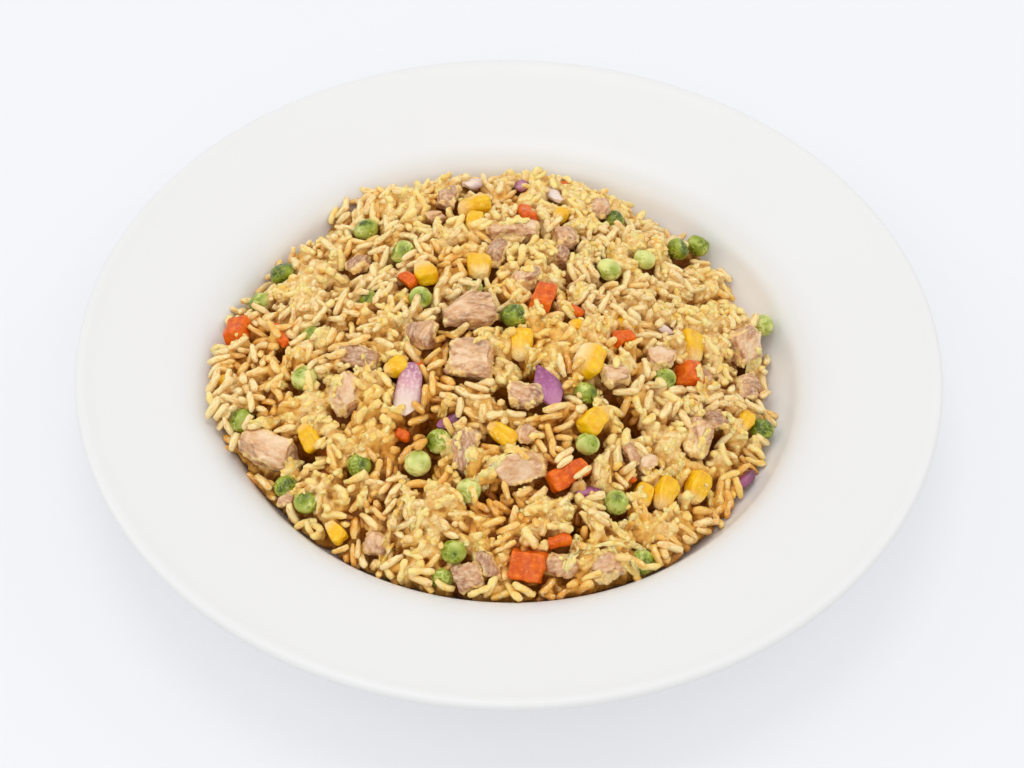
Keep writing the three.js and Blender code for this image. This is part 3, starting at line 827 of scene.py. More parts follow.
def select_points(piece, is_chosen):
    """Selects the points that a test on their place chooses, in edit mode."""
    bpy.ops.mesh.select_mode(type="VERT")
    bpy.ops.mesh.select_all(action="DESELECT")
    bpy.ops.object.mode_set(mode="OBJECT")
    for vertex in piece.data.vertices:
        vertex.select = bool(is_chosen(vertex.co))
    bpy.ops.object.mode_set(mode="EDIT")


select_points(kernel_form, lambda co: co.x < -0.5)
bpy.ops.transform.resize(value=(1, 0.52, 0.62))
select_points(kernel_form, lambda co: co.x > 0.5)
bpy.ops.transform.resize(value=(1, 0.9, 0.86))
select_points(kernel_form, lambda co: co.x > 0.5 and abs(co.y) < 0.1 and abs(co.z) < 0.1)
bpy.ops.transform.translate(value=(-0.3, 0, 0))
select_points(kernel_form, lambda co: abs(co.x) < 0.1 and abs(co.y) < 0.1 and co.z > 0.5)
bpy.ops.transform.translate(value=(0.1, 0, -0.16))
bpy.ops.object.mode_set(mode="OBJECT")
apply_modifier(kernel_form, "SUBSURF", levels=3, render_levels=3)
kernel_points = points_of(kernel_form)
kernel_low = kernel_points.min(axis=0)
kernel_high = kernel_points.max(axis=0)
move_points(kernel_form, 2 * (kernel_points - kernel_low) / (kernel_high - kernel_low) - 1)
bpy.ops.object.shade_smooth()


def copy_of(form, place):
    """A copy of a modelled form with its own mesh, carried to its place and size."""
    piece = form.copy()
    piece.data = form.data.copy()
    bpy.context.collection.objects.link(piece)
    piece.data.transform(place)
    return piece


def corn_piece(place, tip_colour, seed):
    """A kernel of its own shape. tip_colour is how much of it is pale."""
    kernel = copy_of(kernel_form, place)
    local = local_points(kernel, place)
    swell = waves(local, 0.24, seed)
    folds = waves(local, (0.12, 0.45, 0.45), seed + 2)
    creases = np.clip(1 - np.abs(folds) * 7, 0, 1) ** 2
    push_out(kernel, 0.5 * swell - 0.45 * creases - 0.3 * np.clip(folds * 2.4 - 0.4, 0, 1))
    keep_value(kernel, "place", local)
    pale = np.clip(tip_colour - 0.5 - local[:, 0] / half_size(place)[0], 0, 1)
    keep_value(kernel, "tone", pale)
    return kernel


corn, nodes, links, shader = plain_material("cooked_sweetcorn", 0.24)
corn_place = stored(nodes, "place")["Vector"]
corn_yellow = add_mottle(
    nodes, links, corn_place, 0.28, 0.48, 0.16, (0.84, 0.40, 0.002), (0.95, 0.575, 0.006)
)
corn_streaks = add_mottle(nodes, links, corn_place, 0.7, 0.66, 0.1, corn_yellow, (1.0, 0.76, 0.20))
links.new(
    blended(nodes, links, stored(nodes, "tone")["Fac"], corn_streaks, (0.93, 0.72, 0.36)),
    shader.inputs["Base Color"],
)
moist(shader, 0.2, (1, 0.6, 0.1), 2 * mm, 0.4, 0.08, 0.25)


def points_to_wide_end(place, node):
    """The place turned end for end where the node's solid is wider at the front than behind."""
    local = in_form(node_points(node), place)
    is_far = local[:, 0] > 0
    is_wide_behind = np.abs(local[is_far, 1]).mean() >= np.abs(local[~is_far, 1]).mean()
    return place if is_wide_behind else place @ Matrix.Rotation(math.pi, 4, "Z")


corn_tips = (0.1, 0.9, 0.3, 0.35, 0.0, 0.1, 0.3, 0.6, 0.2, 0.2, 0.35)
for i, tip in enumerate(corn_tips):
    node = f"corn_{i + 1:02d}"
    if node == "corn_08":
        place = place_of_node(node) @ Matrix.Rotation(-math.pi / 2, 4, "Z")
    else:
        place = points_to_wide_end(place_of_node(node), node)
    piece = corn_piece(place, tip, 9 + 3 * i)
    toppings.append(attach(piece, f"cooked_{node}", corn, node))
small_corn = (
    (-12.5, 49.5, 8, 6, 5, 80, 0.6, 0.1), (-35.5, -20.5, 8, 6, 5.5, 20, 0.8, 0.1),
    (76, -21.5, 9, 5.5, 5, 70, 0.8, 0.2), (-52.5, -69.5, 8, 5, 5, -50, 0.8, 0.4),
    (36.7, 3.9, 7, 6, 5, 30, 0, 0), (16.3, 57.4, 7, 5, 5, 60, 0.4, 0.2),
    (42.2, -57.2, 8, 6, 5, 80, 0, 0.1), (21.4, -1.7, 6, 5, 5, 10, -0.2, 0),
    (-92, -15, 5, 4.5, 4, 0, 0.6, 0),
)
for i, (*row, tip) in enumerate(small_corn):
    piece = corn_piece(place_on_heap(*row), tip, 61 + 3 * i)
    toppings.append(attach(piece, f"small_corn_{i + 1:02d}", corn))
bpy.data.objects.remove(kernel_form)


# The peas. Cooked garden peas with shiny skins that have wrinkled and sunk here and there, with
# painted shade, darker, where they are sunk and a painted highlight, paler, where they are full.


def pea_piece(place, tone, dent, seed):
    """A pea with a sunken spot that faces up and fine wrinkles that run into it."""
    draw = random.Random(seed)
    pea = started_from(bpy.ops.mesh.primitive_ico_sphere_add, subdivisions=5, radius=1)
    ball = points_of(pea)
    turn = draw.uniform(0, 2 * math.pi)
    lean = draw.uniform(0.2, 0.9)
    spot = np.array([lean * math.cos(turn), lean * math.sin(turn) - 0.3, 0.8])
    spot /= np.linalg.norm(spot)
    nearness = ball @ spot
    sunk = np.clip((nearness - 0.62) / 0.3, 0, 1)
    sunk = sunk * sunk * (3 - 2 * sunk)
    swell = waves(ball, 1.1, seed)
    wrinkles = 1 - np.abs(waves(ball, 2.7, seed + 2)) * 2.4
    wrinkles = np.clip(wrinkles, 0, 1) ** 2
    patches = np.clip(waves(ball, 1.3, seed + 4) * 2.5 + 0.2 + dent * 0.4, 0, 1)
    fine = waves(ball, 7, seed + 6)
    radius = 1 + 0.05 * swell - 0.26 * dent * sunk + 0.01 * fine
    radius += patches * (0.06 * wrinkles - 0.07)
    move_points(pea, ball * radius[:, None])
    pea.data.transform(place)
    keep_value(pea, "place", ball * 4)
    # Painted shade and highlight: the tone is darker where the skin is sunk and in the hollow
    # patches, and paler along the wrinkles' ridges and where the pea swells.
    depth = 0.5 * dent * sunk + patches * (0.2 - 0.55 * wrinkles)
    keep_value(pea, "tone", np.clip(tone + 0.04 + 0.5 * swell - depth, 0, 1))
    bpy.ops.object.shade_smooth()
    return pea


pea_skin, nodes, links, shader = plain_material("pea_skin", 0.26)
pea_ramp = color_ramp(
    nodes, links, stored(nodes, "tone")["Fac"], (0.07, 0.105, 0.004), (0.74, 0.75, 0.26),
    ((0.45, (0.31, 0.375, 0.026)),),
)
pea_color = add_mottle(
    nodes, links, stored(nodes, "place")["Vector"], 1.1, 0.68, 0.1, pea_ramp.outputs["Color"],
    (0.66, 0.66, 0.32),
)
links.new(pea_color, shader.inputs["Base Color"])
moist(shader, 0.3, (0.5, 1, 0.2), 1.6 * mm, 0.25, 0.1, 0.3)
# Tone of each pea, from 0 for dark to 1 for pale, and how far it is sunk
pea_looks = (
    (0.5, 0.4), (0.2, 0.5), (0.6, 0.3), (0.62, 0.9), (0.62, 0.5), (0.2, 0.3), (0.4, 0.8),
    (0.4, 0.7), (0.75, 0.4), (0.72, 0.5), (0.7, 0.3), (0.8, 0.3), (0.42, 0.5), (0.3, 0.1),
    (0.5, 0.4), (0.82, 0.2), (0.6, 0.9), (0.45, 0.4), (0.55, 0.2), (0.55, 0.6),
)
for i, (tone, dent) in enumerate(pea_looks):
    node = f"pea_{i + 1:02d}"
    piece = pea_piece(place_of_node(node), tone, dent, 7 + 11 * i)
    toppings.append(attach(piece, f"cooked_{node}", pea_skin, node))
small_peas = (
    (82, -21.5, 8, 7, 7, 0, 0.8, 0.25, 0.2), (-62, -60, 8, 7.6, 7, 0, 0.4, 0.5, 0.3),
    (-16, -79.5, 8, 7.6, 7, 0, 0.2, 0.45, 0.4), (24.5, -46, 7.6, 7.2, 7, 0, 0.4, 0.6, 0.3),
    (49.8, -14.5, 7.4, 7, 7, 0, 0.2, 0.6, 0.5), (-11.9, -60.6, 8, 8, 7.4, 0, 0, 0.8, 0.2),
    (-63.9, -1.9, 7.6, 7, 7, 0, -0.4, 0.5, 0.3), (-46, 12.5, 7, 7, 7, 0, -0.8, 0.3, 0.3),
    (35.3, 62.8, 7, 7, 7, 0, 0, 0.35, 0.2), (-19.4, -85.7, 7, 6.6, 6.4, 0, 0.2, 0.5, 0.4),
    (17.5, -15, 7, 6, 6, 0, -0.6, 0.2, 0.2), (-11.5, 12, 5.4, 4.6, 4.6, 0, 1, 0.85, 0),
)
for i, (*row, tone, dent) in enumerate(small_peas):
    piece = pea_piece(place_on_heap(*row), tone, dent, 407 + 11 * i)
    toppings.append(attach(piece, f"small_pea_{i + 1:02d}", pea_skin))


# The grains of rice. About two thousand cooked long grains, golden from the sauce and faintly
# oily, some paler and some toasted, and many with a rough coat of egg. They were tossed and
# tipped out: one at a time they are laid where the heap is lowest, and tilt until they rest.
core_sink = 4.4 * mm
core_gap = 0.15 * mm
# Gaps between clumps, sunk into the heap and darkened with painted shade: place, reach and depth in
# mm
gaps = (
    (-24, -38, 4, 6), (-61, -46, 3.6, 6), (7, -24, 3.4, 6), (-3, -29, 3, 5), (33, -26, 3.6, 6),
    (38, -33, 3.4, 6), (20, -47, 3, 5), (-38, -19, 3, 5), (33, -66, 3.6, 6), (21, -71, 3, 5),
    (-6, -62, 3, 5), (-18, -9, 3, 5), (20, 1, 2.6, 4), (-74, -8, 2.6, 4), (54, 43, 2.4, 4),
    (-31, -64, 2.6, 4), (-12, 14, 2.6, 4), (68, -30, 2.8, 4), (-58, -12, 2.6, 4),
)
is_core = is_heap & (heap_level - core_sink > plate_level + core_gap)


def hill(x, y, reach):
    """A smooth round hill of height 1 on the map, its place and reach in mm."""
    away = ((map_x - x * mm) ** 2 + (map_y - y * mm) ** 2) / (reach * mm) ** 2
    return np.exp(-away)


gap_depth = np.zeros(map_x.shape)
for x, y, reach, depth in gaps:
    gap_depth += depth * mm * hill(x, y, reach)
core_top = np.maximum(heap_level - core_sink - 1.3 * gap_depth, plate_level + core_gap)
ground = np.where(is_core, core_top, plate_level)

grain_length = 8.2 * mm
grain_width = 2.75 * mm
grain_sides = 6
# Along a grain of half size 1: where each ring of its points lies, and how full it is there
grain_rings = ((-0.91, 0.57), (-0.52, 0.93), (0.02, 1.0), (0.56, 0.96), (0.93, 0.68))


def grain_form(seed, roughness):
    """A grain of half size 1 with blunt ends, a little bent and uneven, rougher where coated."""
    draw = random.Random(seed)
    grain = started_from(
        bpy.ops.mesh.primitive_uv_sphere_add,
        segments=grain_sides,
        ring_count=len(grain_rings) + 1,
        radius=1,
        rotation=(0, math.pi / 2, 0),
    )
    bpy.ops.object.transform_apply(location=True, rotation=True, scale=True)
    bpy.ops.object.mode_set(mode="EDIT")
    bend = draw.uniform(0.05, 0.55)
    places = sorted({round(vertex.co.x, 3) for vertex in grain.data.vertices})
    for place, (along, fullness) in zip(places[1:-1], grain_rings):
        select_points(grain, lambda co, place=place: abs(co.x - place) < 0.01)
        growth = fullness / math.sqrt(1 - place * place) * draw.uniform(0.87, 1.1)
        bpy.ops.transform.resize(value=(1, growth, growth * draw.uniform(0.74, 1)))
        sag = draw.uniform(-0.07, 0.07) - bend * along * along
        bpy.ops.transform.translate(value=(along - place, draw.uniform(-0.1, 0.1), sag))
    bpy.ops.object.mode_set(mode="OBJECT")
    form_points = points_of(grain)
    swell = 1 + roughness * waves(form_points, (1.7, 1.3, 1.3), seed)
    form_points[:, 1:] *= swell[:, None]
    form_faces = [tuple(face.vertices) for face in grain.data.polygons]
    bpy.data.objects.remove(grain)
    return form_points, form_faces


plain_forms = [grain_form(seed, 0.3) for seed in range(12)]
coated_forms = [grain_form(20 + seed, 0.55) for seed in range(7)]
is_topped = np.zeros(map_x.shape, dtype=bool)
for piece in toppings:
    low = points_of(piece).min(axis=0)
    high = points_of(piece).max(axis=0)
    tree = BVHTree.FromObject(piece, bpy.context.evaluated_depsgraph_get())
    first_i, first_j = ((low[:2] + map_half) / map_step).astype(int)
    last_i, last_j = ((high[:2] + map_half) / map_step).astype(int) + 2
    for i in range(first_i, last_i):
        for j in range(first_j, last_j):
            hit = tree.ray_cast((map_line[i], map_line[j], drop_height), (0, 0, -1))[0]
            if hit is not None:
                is_topped[i, j] = True
                ground[i, j] = max(ground[i, j], hit.z)


def field(scale, seed):
    """Smooth noise over the map. scale is the number of waves for each mm."""
    coarse = map_line[::4]
    x, y = np.meshgrid(coarse, coarse, indexing="ij")
    points = np.column_stack([x.ravel(), y.ravel(), np.zeros(x.size)]) / mm
    values = waves(points, scale, seed).reshape(x.shape)
    along = np.array([np.interp(map_line, coarse, column) for column in values.T]).T
    return np.array([np.interp(map_line, coarse, row) for row in along])


def cells_where(is_chosen):
    """The column and row of each cell of the map that is chosen."""
    return np.column_stack(np.nonzero(is_chosen))


topped = blurred(is_topped.astype(float), 0.8 * mm)
near_topping = np.clip(2.5 * blurred(is_topped.astype(float), 4 * mm), 0, 1)
clumps = 5.5 * field(0.075, 8) + 2.6 * field(0.17, 12)
target = heap_level - 0.6 * mm + clumps * (1 - near_topping) * mm
is_back = (map_y > 82 * mm) & (np.abs(map_x) < 45 * mm)
target -= 3 * mm * np.clip((map_radius - 84 * mm) / (8 * mm), 0, 1) * (map_y > 0)
target -= gap_depth
target -= 0.2 * mm * near_topping
# The rice in front of a piece on the far slope of the heap lies lower, so the piece shows.
is_before = np.roll(is_topped, -int(4.5 * mm / map_step), axis=1) & (map_y > 12 * mm)
before = np.clip(1.6 * blurred(is_before.astype(float), 2 * mm), 0, 1)
target -= 1.5 * mm * before
is_pit = gap_depth > 2.6 * mm
is_kept_free = is_topped | is_pit
is_open = is_heap & (topped < 0.72) & ~(is_back & (map_radius > 90 * mm)) & ~is_pit
open_cells = cells_where(is_open)
inner_cells = cells_where(is_open & (blurred(is_heap.astype(float), 3 * mm) > 0.97))
lie = field(0.08, 55) * 2 * math.pi
egg_share = np.clip(0.5 + 1.3 * field(0.045, 71) + 0.6 * field(0.14, 72), 0, 1)

lay_draw = np.random.default_rng(4)
rod = np.linspace(-0.43, 0.43, 7)
middle = len(rod) // 2
rests = [(a, b) for a in range(middle) for b in range(middle + 1, len(rod))]
rest_a = np.array([a for a, b in rests])
rest_b = np.array([b for a, b in rests])
footprint_cells = 9


def cell_of(value):
    """The map's column or row at a coordinate."""
    return np.clip(((value + map_half) / map_step + 0.5).astype(int), 0, map_count - 1)


def settle(x, y, turn, length, width):
    """Height of the middle and slope of a rod that comes to rest on the ground."""
    along = rod * length
    side = np.array([-0.3, 0, 0.3])[:, None] * width
    px = x + along * math.cos(turn) - side * math.sin(turn)
    py = y + along * math.sin(turn) + side * math.cos(turn)
    under = ground[cell_of(px), cell_of(py)].max(axis=0)
    span = along[rest_b] - along[rest_a]
    crossing = (under[rest_a] * along[rest_b] - under[rest_b] * along[rest_a]) / span
    best = int(np.argmax(crossing))
    slope = (under[rest_b[best]] - under[rest_a[best]]) / span[best]
    height = crossing[best]
    if under[middle] > height:
        height = under[middle]
        slope = slope * 0.5
    return height, slope


def raise_ground(x, y, height, turn, slope, length, width):
    """Adds a long rounded thing to the ground."""
    i = int(round((x + map_half) / map_step))
    j = int(round((y + map_half) / map_step))
    window = (
        slice(max(0, i - footprint_cells), i + footprint_cells + 1),
        slice(max(0, j - footprint_cells), j + footprint_cells + 1),
    )
    away_x = map_x[window] - x
    away_y = map_y[window] - y
    along = away_x * math.cos(turn) + away_y * math.sin(turn)
    across = away_y * math.cos(turn) - away_x * math.sin(turn)
    flat_length = length * math.cos(math.atan(slope))
    inside = 1 - (2 * along / flat_length) ** 2 - (2 * across / width) ** 2
    top = height + slope * along + 0.5 * width * np.sqrt(np.clip(inside, 0, 1))
    ground[window] = np.where(inside > 0, np.maximum(ground[window], top), ground[window])


def lay_grains(cells, count, tries, over, shortest=0.72, longest=1.1, covering=0.3):
    """Lays grains one at a time where the ground is furthest below its target level. covering
    is how much of a grain may lie over a topping or a gap."""
    laid = []
    for _ in range(count):
        chosen = cells[lay_draw.integers(0, len(cells), tries)]
        lack = target[chosen[:, 0], chosen[:, 1]] - ground[chosen[:, 0], chosen[:, 1]]
        i, j = chosen[int(np.argmax(lack))]
        if lack.max() < -over:
            continue
        x = map_line[i] + lay_draw.uniform(-0.5, 0.5) * map_step
        y = map_line[j] + lay_draw.uniform(-0.5, 0.5) * map_step
        length = grain_length * lay_draw.uniform(shortest, longest)
        width = grain_width * lay_draw.uniform(0.84, 1.14)
        turns = lie[i, j] + lay_draw.normal(0, 0.75, 4)
        found = [settle(x, y, turn, length, width) for turn in turns]
        pick = int(np.argmin([height for height, slope in found]))
        height, slope = found[pick]
        if abs(slope) > 1.3 or height > target[i, j] + over + 1.2 * mm:
            continue
        rod_x = x + rod * length * math.cos(turns[pick])
        rod_y = y + rod * length * math.sin(turns[pick])
        if is_kept_free[cell_of(rod_x), cell_of(rod_y)].mean() > covering:
            continue
        height += 0.24 * width
        if lay_draw.random() < 0.4:
            lean = lay_draw.uniform(-0.9, 0.9)
            slope += lean
            height += 0.2 * abs(lean) * length
        rod_laid = (x, y, height, turns[pick], slope, length, width)
        raise_ground(*rod_laid)
        laid.append(rod_laid)
    return laid


def long_place(x, y, height, turn, slope, length, width):
    """The matrix that carries a long form of half size 1 to where it was laid."""
    along = np.array([math.cos(turn), math.sin(turn), slope])
    along /= np.linalg.norm(along)
    level = np.array([-math.sin(turn), math.cos(turn), 0])
    upward = np.cross(along, level)
    roll = lay_draw.uniform(0, 2 * math.pi)
    across = level * math.cos(roll) + upward * math.sin(roll)
    place = np.identity(4)
    place[:3, 0] = along * length / 2
    place[:3, 1] = across * width / 2
    place[:3, 2] = np.cross(along, across) * width / 2
    place[:3, 3] = (x, y, height)
    return place


def joined_copies(name, forms, places, tones):
    """One mesh of many copies of a few forms, and the tone of each of its points."""
    all_points = []
    all_tones = []
    all_spots = []
    starts = []
    totals = []
    corners = []
    first = 0
    for i, (place, tone) in enumerate(zip(places, tones)):
        form_points, form_faces = forms[i % len(forms)]
        all_points.append(form_points @ place[:3, :3].T + place[:3, 3])
        all_tones.append(np.full(len(form_points), tone))
        half = np.linalg.norm(place[:3, :3], axis=0) / mm
        all_spots.append(form_points * half + 7.3 * (i % 97))
        for face in form_faces:
            starts.append(len(corners))
            totals.append(len(face))
            corners += [first + index for index in face]
        first += len(form_points)
    mesh = bpy.data.meshes.new(name)
    mesh.vertices.add(first)
    mesh.vertices.foreach_set("co", np.concatenate(all_points).ravel())
    mesh.loops.add(len(corners))
    mesh.loops.foreach_set("vertex_index", corners)
    mesh.polygons.add(len(starts))
    mesh.polygons.foreach_set("loop_start", starts)
    mesh.polygons.foreach_set("loop_total", totals)
    mesh.polygons.foreach_set("use_smooth", [True] * len(starts))
    mesh.update(calc_edges=True)
    mesh.validate()
    piece = bpy.data.objects.new(name, mesh)
    bpy.context.collection.objects.link(piece)
    keep_value(piece, "place", np.concatenate(all_spots))
    return piece, np.concatenate(all_tones)


edge_share = np.clip(2.2 * blurred(is_heap.astype(float), 4 * mm) - 1.2, 0, 1)


def keep_depth(piece, tones):
    """Stores the painted shade of each point of a piece, as depth: how deep it lies in the heap,
    from 0 at its face to 1, more in browner patches and gaps and less near the heap's edge. Stores
    too its tone, with a painted highlight where it stands out and painted shade where it lies low."""
    x, y, z = points_of(piece).T
    coarse = look_up(rice_level, x, y) - z
    fine = look_up(fine_level, x, y) - z
    patch_shade = look_up(shade_patches, x, y)
    away_from_edge = look_up(edge_share, x, y)
    depth = 0.6 * np.clip((fine * (1 + patch_shade) - 0.35 * mm) / (2 * mm), 0, 1)
    depth *= 0.5 + 0.5 * away_from_edge
    depth += 0.9 * patch_shade * np.clip((fine + 0.7 * mm) / (1.6 * mm), 0, 1)
    hollow = np.clip((coarse - 0.3 * mm) / (2.6 * mm), 0, 1)
    depth += 0.75 * hollow * away_from_edge
    pit = np.clip(look_up(gap_depth, x, y) / (2.5 * mm) - 0.2, 0, 1)
    depth += 1.1 * pit * np.clip((coarse + 0.3 * mm) / (1.6 * mm), 0, 1)
    keep_value(piece, "depth", np.clip(depth, 0, 1))
    keep_value(piece, "tone", np.clip(tones - 0.26 * np.clip(fine / mm, -1, 1), 0, 1))


lower_grains = lay_grains(open_cells, 5600, 8, 0.9 * mm)
is_hollow = is_heap & ~is_topped & ~is_pit & (target - ground > 1.6 * mm)
lower_grains += lay_grains(cells_where(is_hollow), 1000, 3, 0.5 * mm, 0.4, 0.66)


# The egg. It was scrambled through the rice in the pan, and lies over the grains as soft bright
# curds, thin torn shreds that follow whatever they lie on, and a rough litter of crumbs.
curd_columns = 9
curd_rows = 7


def curd_points(x, y, turn, length, width, thickness, bend, seed):
    """Upper and lower points of a curd that is draped over the ground at a place."""
    along = np.linspace(-1, 1, curd_columns)
    across = np.linspace(-1, 1, curd_rows)
    s, t = np.meshgrid(along, across, indexing="ij")
    grid = np.column_stack([s.ravel() * 1.3, t.ravel() * 1.3, np.zeros(s.size)])
    ragged = waves(grid, 1.2, seed).reshape(s.shape)
    torn = waves(grid, 2.3, seed + 2).reshape(s.shape)
    outline = np.clip(1 - np.abs(s) ** 3.2, 0.1, 1) ** 0.55
    px = (s + 0.35 * ragged + 0.15 * torn) * length / 2
    py = t * outline * width / 2 * (1 + 0.9 * ragged) + bend * (s ** 2 - 0.4) * length / 2
    wx = x + px * math.cos(turn) - py * math.sin(turn)
    wy = y + px * math.sin(turn) + py * math.cos(turn)
    bed = look_up(soft_ground, wx, wy)
    curds = waves(grid, 2.8, seed + 1).reshape(s.shape)
    fullness = np.clip(1 - np.maximum(np.abs(s), np.abs(t)) ** 3, 0, 1)
    upper = bed + thickness * (0.25 + 0.6 * fullness) + 0.8 * mm * curds
    lower = bed - 0.35 * thickness * fullness + 0.3 * mm * curds - 0.1 * mm
    return wx, wy, np.maximum(upper, lower + 0.25 * mm), lower


def shell_faces(rings, below):
    """The faces of a closed shell: its upper side, which is handed in, its lower side, whose
    points are numbered so much higher, and the edge between them."""
    faces = []
    borders = {}
    for ring in rings:
        faces.append(ring)
        faces.append([index + below for index in reversed(ring)])
        for start, end in zip(ring, ring[1:] + ring[:1]):
            if (end, start) in borders:
                del borders[end, start]
            else:
                borders[start, end] = True
    return faces + [[end, start, start + below, end + below] for start, end in borders]


def new_piece(name, points, faces):
    """A piece made of these points and faces, and the only one selected."""
    mesh = bpy.data.meshes.new(name)
    mesh.from_pydata(points, [], faces)
    mesh.update()
    piece = bpy.data.objects.new(name, mesh)
    bpy.context.collection.objects.link(piece)
    bpy.ops.object.select_all(action="DESELECT")
    bpy.context.view_layer.objects.active = piece
    piece.select_set(True)
    return piece


egg_draw = np.random.default_rng(9)
egg_points = []
egg_faces = []
egg_tones = []


def lay_curd(x, y, turn, length, width, thickness, bend, seed):
    """Drapes one curd over the ground and raises the ground by it."""
    wx, wy, upper, lower = curd_points(x, y, turn, length, width, thickness, bend, seed)
    first = len(egg_points)
    egg_points.extend(zip(wx.ravel(), wy.ravel(), upper.ravel()))
    egg_points.extend(zip(wx.ravel(), wy.ravel(), lower.ravel()))
    starts = first + np.arange(wx.size).reshape(wx.shape)[:-1, :-1].ravel()
    rings = [[a, a + curd_rows, a + curd_rows + 1, a + 1] for a in starts.tolist()]
    egg_faces.extend(shell_faces(rings, wx.size))
    egg_tones.extend([egg_draw.uniform(0, 1)] * (2 * wx.size))
    for u in (0, 0.33, 0.67):
        for v in (0, 0.33, 0.67):
            px, py, pz = (
                (grid[:-1, :-1] * (1 - u) + grid[1:, :-1] * u) * (1 - v)
                + (grid[:-1, 1:] * (1 - u) + grid[1:, 1:] * u) * v
                for grid in (wx, wy, upper)
            )
            np.maximum.at(ground, (cell_of(px), cell_of(py)), pz)


def egg_spot():
    """A random place on the heap, likelier where there is more egg."""
    while True:
        i, j = inner_cells[egg_draw.integers(0, len(inner_cells))]
        if egg_draw.random() < egg_share[i, j] - before[i, j]:
            return map_line[i], map_line[j]


def lay_curds(count, smallest, largest, thickness, seed):
    """Drapes curds of random sizes, in mm, over the heap."""
    for i in range(count):
        x, y = egg_spot()
        size = egg_draw.uniform(smallest, largest) * mm
        lay_curd(
            x, y, egg_draw.uniform(0, math.pi), size, size * egg_draw.uniform(0.4, 0.8),
            thickness * mm * egg_draw.uniform(0.7, 1.3), egg_draw.uniform(-0.35, 0.35),
            seed + 3 * i,
        )


soft_ground = blurred(ground, 0.7 * mm)
lay_curds(80, 4.5, 10, 1.6, 500)
middle_grains = lay_grains(open_cells, 1500, 8, 0.5 * mm)
soft_ground = blurred(ground, 0.6 * mm)
lay_curds(60, 4, 8, 1.5, 1500)
upper_grains = lay_grains(open_cells, 1150, 6, 0.1 * mm)
edge_cells = cells_where(is_heap & (topped > 0.3) & (topped < 0.7))
upper_grains += lay_grains(edge_cells, 170, 1, 3.5 * mm, 0.6, 1, 1)
border_cells = cells_where(is_heap & (edge_share < 0.6) & (map_y < 30 * mm))
upper_grains += lay_grains(border_cells, 400, 5, 1.5 * mm, 0.72, 1.1, 0.5)
# Single grains that lie on the larger pieces: place, length and turn in mm and degrees
stray_grains = (
    (-20, -5.7, 11, -40), (-76, -2.1, 8.3, -54), (17.6, -55.6, 7, 38), (22.9, -58.2, 7.8, 37),
    (-0.4, -61.6, 7, -68), (4.7, -54.2, 5, -44), (16.3, -21.3, 9, -73), (9.2, 1.3, 6.6, -54),
    (-11.2, -53.7, 5.5, -69),
)
for x, y, length, turn in stray_grains:
    spot = (x * mm, y * mm, math.radians(turn), 0.9 * length * mm, 2.3 * mm)
    height, slope = settle(*spot)
    rod_laid = (*spot[:2], height + 0.3 * spot[4], spot[2], slope, *spot[3:])
    raise_ground(*rod_laid)
    upper_grains.append(rod_laid)
# Curds that lie on the larger pieces: place, turn, length and width in mm and degrees
curds_on_pieces = (
    (-8, -12, 30, 9, 5), (-3, -17, 80, 8, 4), (-55, -24, 120, 11, 4), (-47, -21, 60, 8, 3),
    (29, -79, 20, 14, 4), (36, -80, 140, 12, 3), (3, -50, 20, 9, 5), (-11, -55, 90, 8, 4),
    (81, 5, 60, 9, 4), (1, 45, 10, 9, 4), (62, -36, 70, 8, 3), (-70, -35, 10, 8, 3),
)
for seed, (x, y, turn, length, width) in enumerate(curds_on_pieces):
    soft_ground = blurred(ground, 0.6 * mm)
    lay_curd(
        x * mm, y * mm, math.radians(turn), length * mm, width * mm, 1.6 * mm,
        egg_draw.uniform(-0.25, 0.25), 3500 + 3 * seed,
    )
# Long shreds that stand out: place, turn, length and width in mm and degrees
long_shreds = (
    (-35, -72, 70, 20, 4), (-30, -66, 100, 16, 3), (28, -78, 20, 26, 3.4), (20, -81, 70, 12, 3),
    (36, -72, 150, 14, 3), (-76, -34, 30, 12, 4), (54, -52, 95, 12, 2.6), (-42, 42, 40, 12, 3),
    (62, -14, 100, 10, 3), (22, 14, 60, 12, 4), (-22, -37, 55, 14, 4), (12, -66, 10, 16, 5),
    (70, -2, 40, 9, 6), (-60, -4, 60, 9, 4),
)
for seed, (x, y, turn, length, width) in enumerate(long_shreds):
    soft_ground = blurred(ground, 0.7 * mm) + 0.5 * mm
    lay_curd(
        x * mm, y * mm, math.radians(turn), length * mm, width * mm, 1.0 * mm,
        egg_draw.uniform(-0.25, 0.25), 2500 + 3 * seed,
    )
egg = new_piece("egg_curds", egg_points, egg_faces)
keep_value(egg, "first_tone", np.array(egg_tones))
apply_modifier(egg, "SUBSURF", levels=1, render_levels=1)
egg_crumple = 1.5 * waves(points_of(egg) / mm, 0.5, 21) + waves(points_of(egg) / mm, 1.1, 23)
push_out(egg, 0.8 * egg_crumple)
bpy.ops.object.shade_smooth()


def crumb_form(seed):
    """A rough crumb of egg of half size 1."""
    sphere = bpy.ops.mesh.primitive_uv_sphere_add
    crumb = started_from(sphere, segments=6, ring_count=5, radius=1)
    ball = points_of(crumb)
    swell = 1 + 0.5 * waves(ball, 1.2, seed) + 0.35 * waves(ball, 2.3, seed + 1)
    form_faces = [tuple(face.vertices) for face in crumb.data.polygons]
    bpy.data.objects.remove(crumb)
    return ball * swell[:, None], form_faces


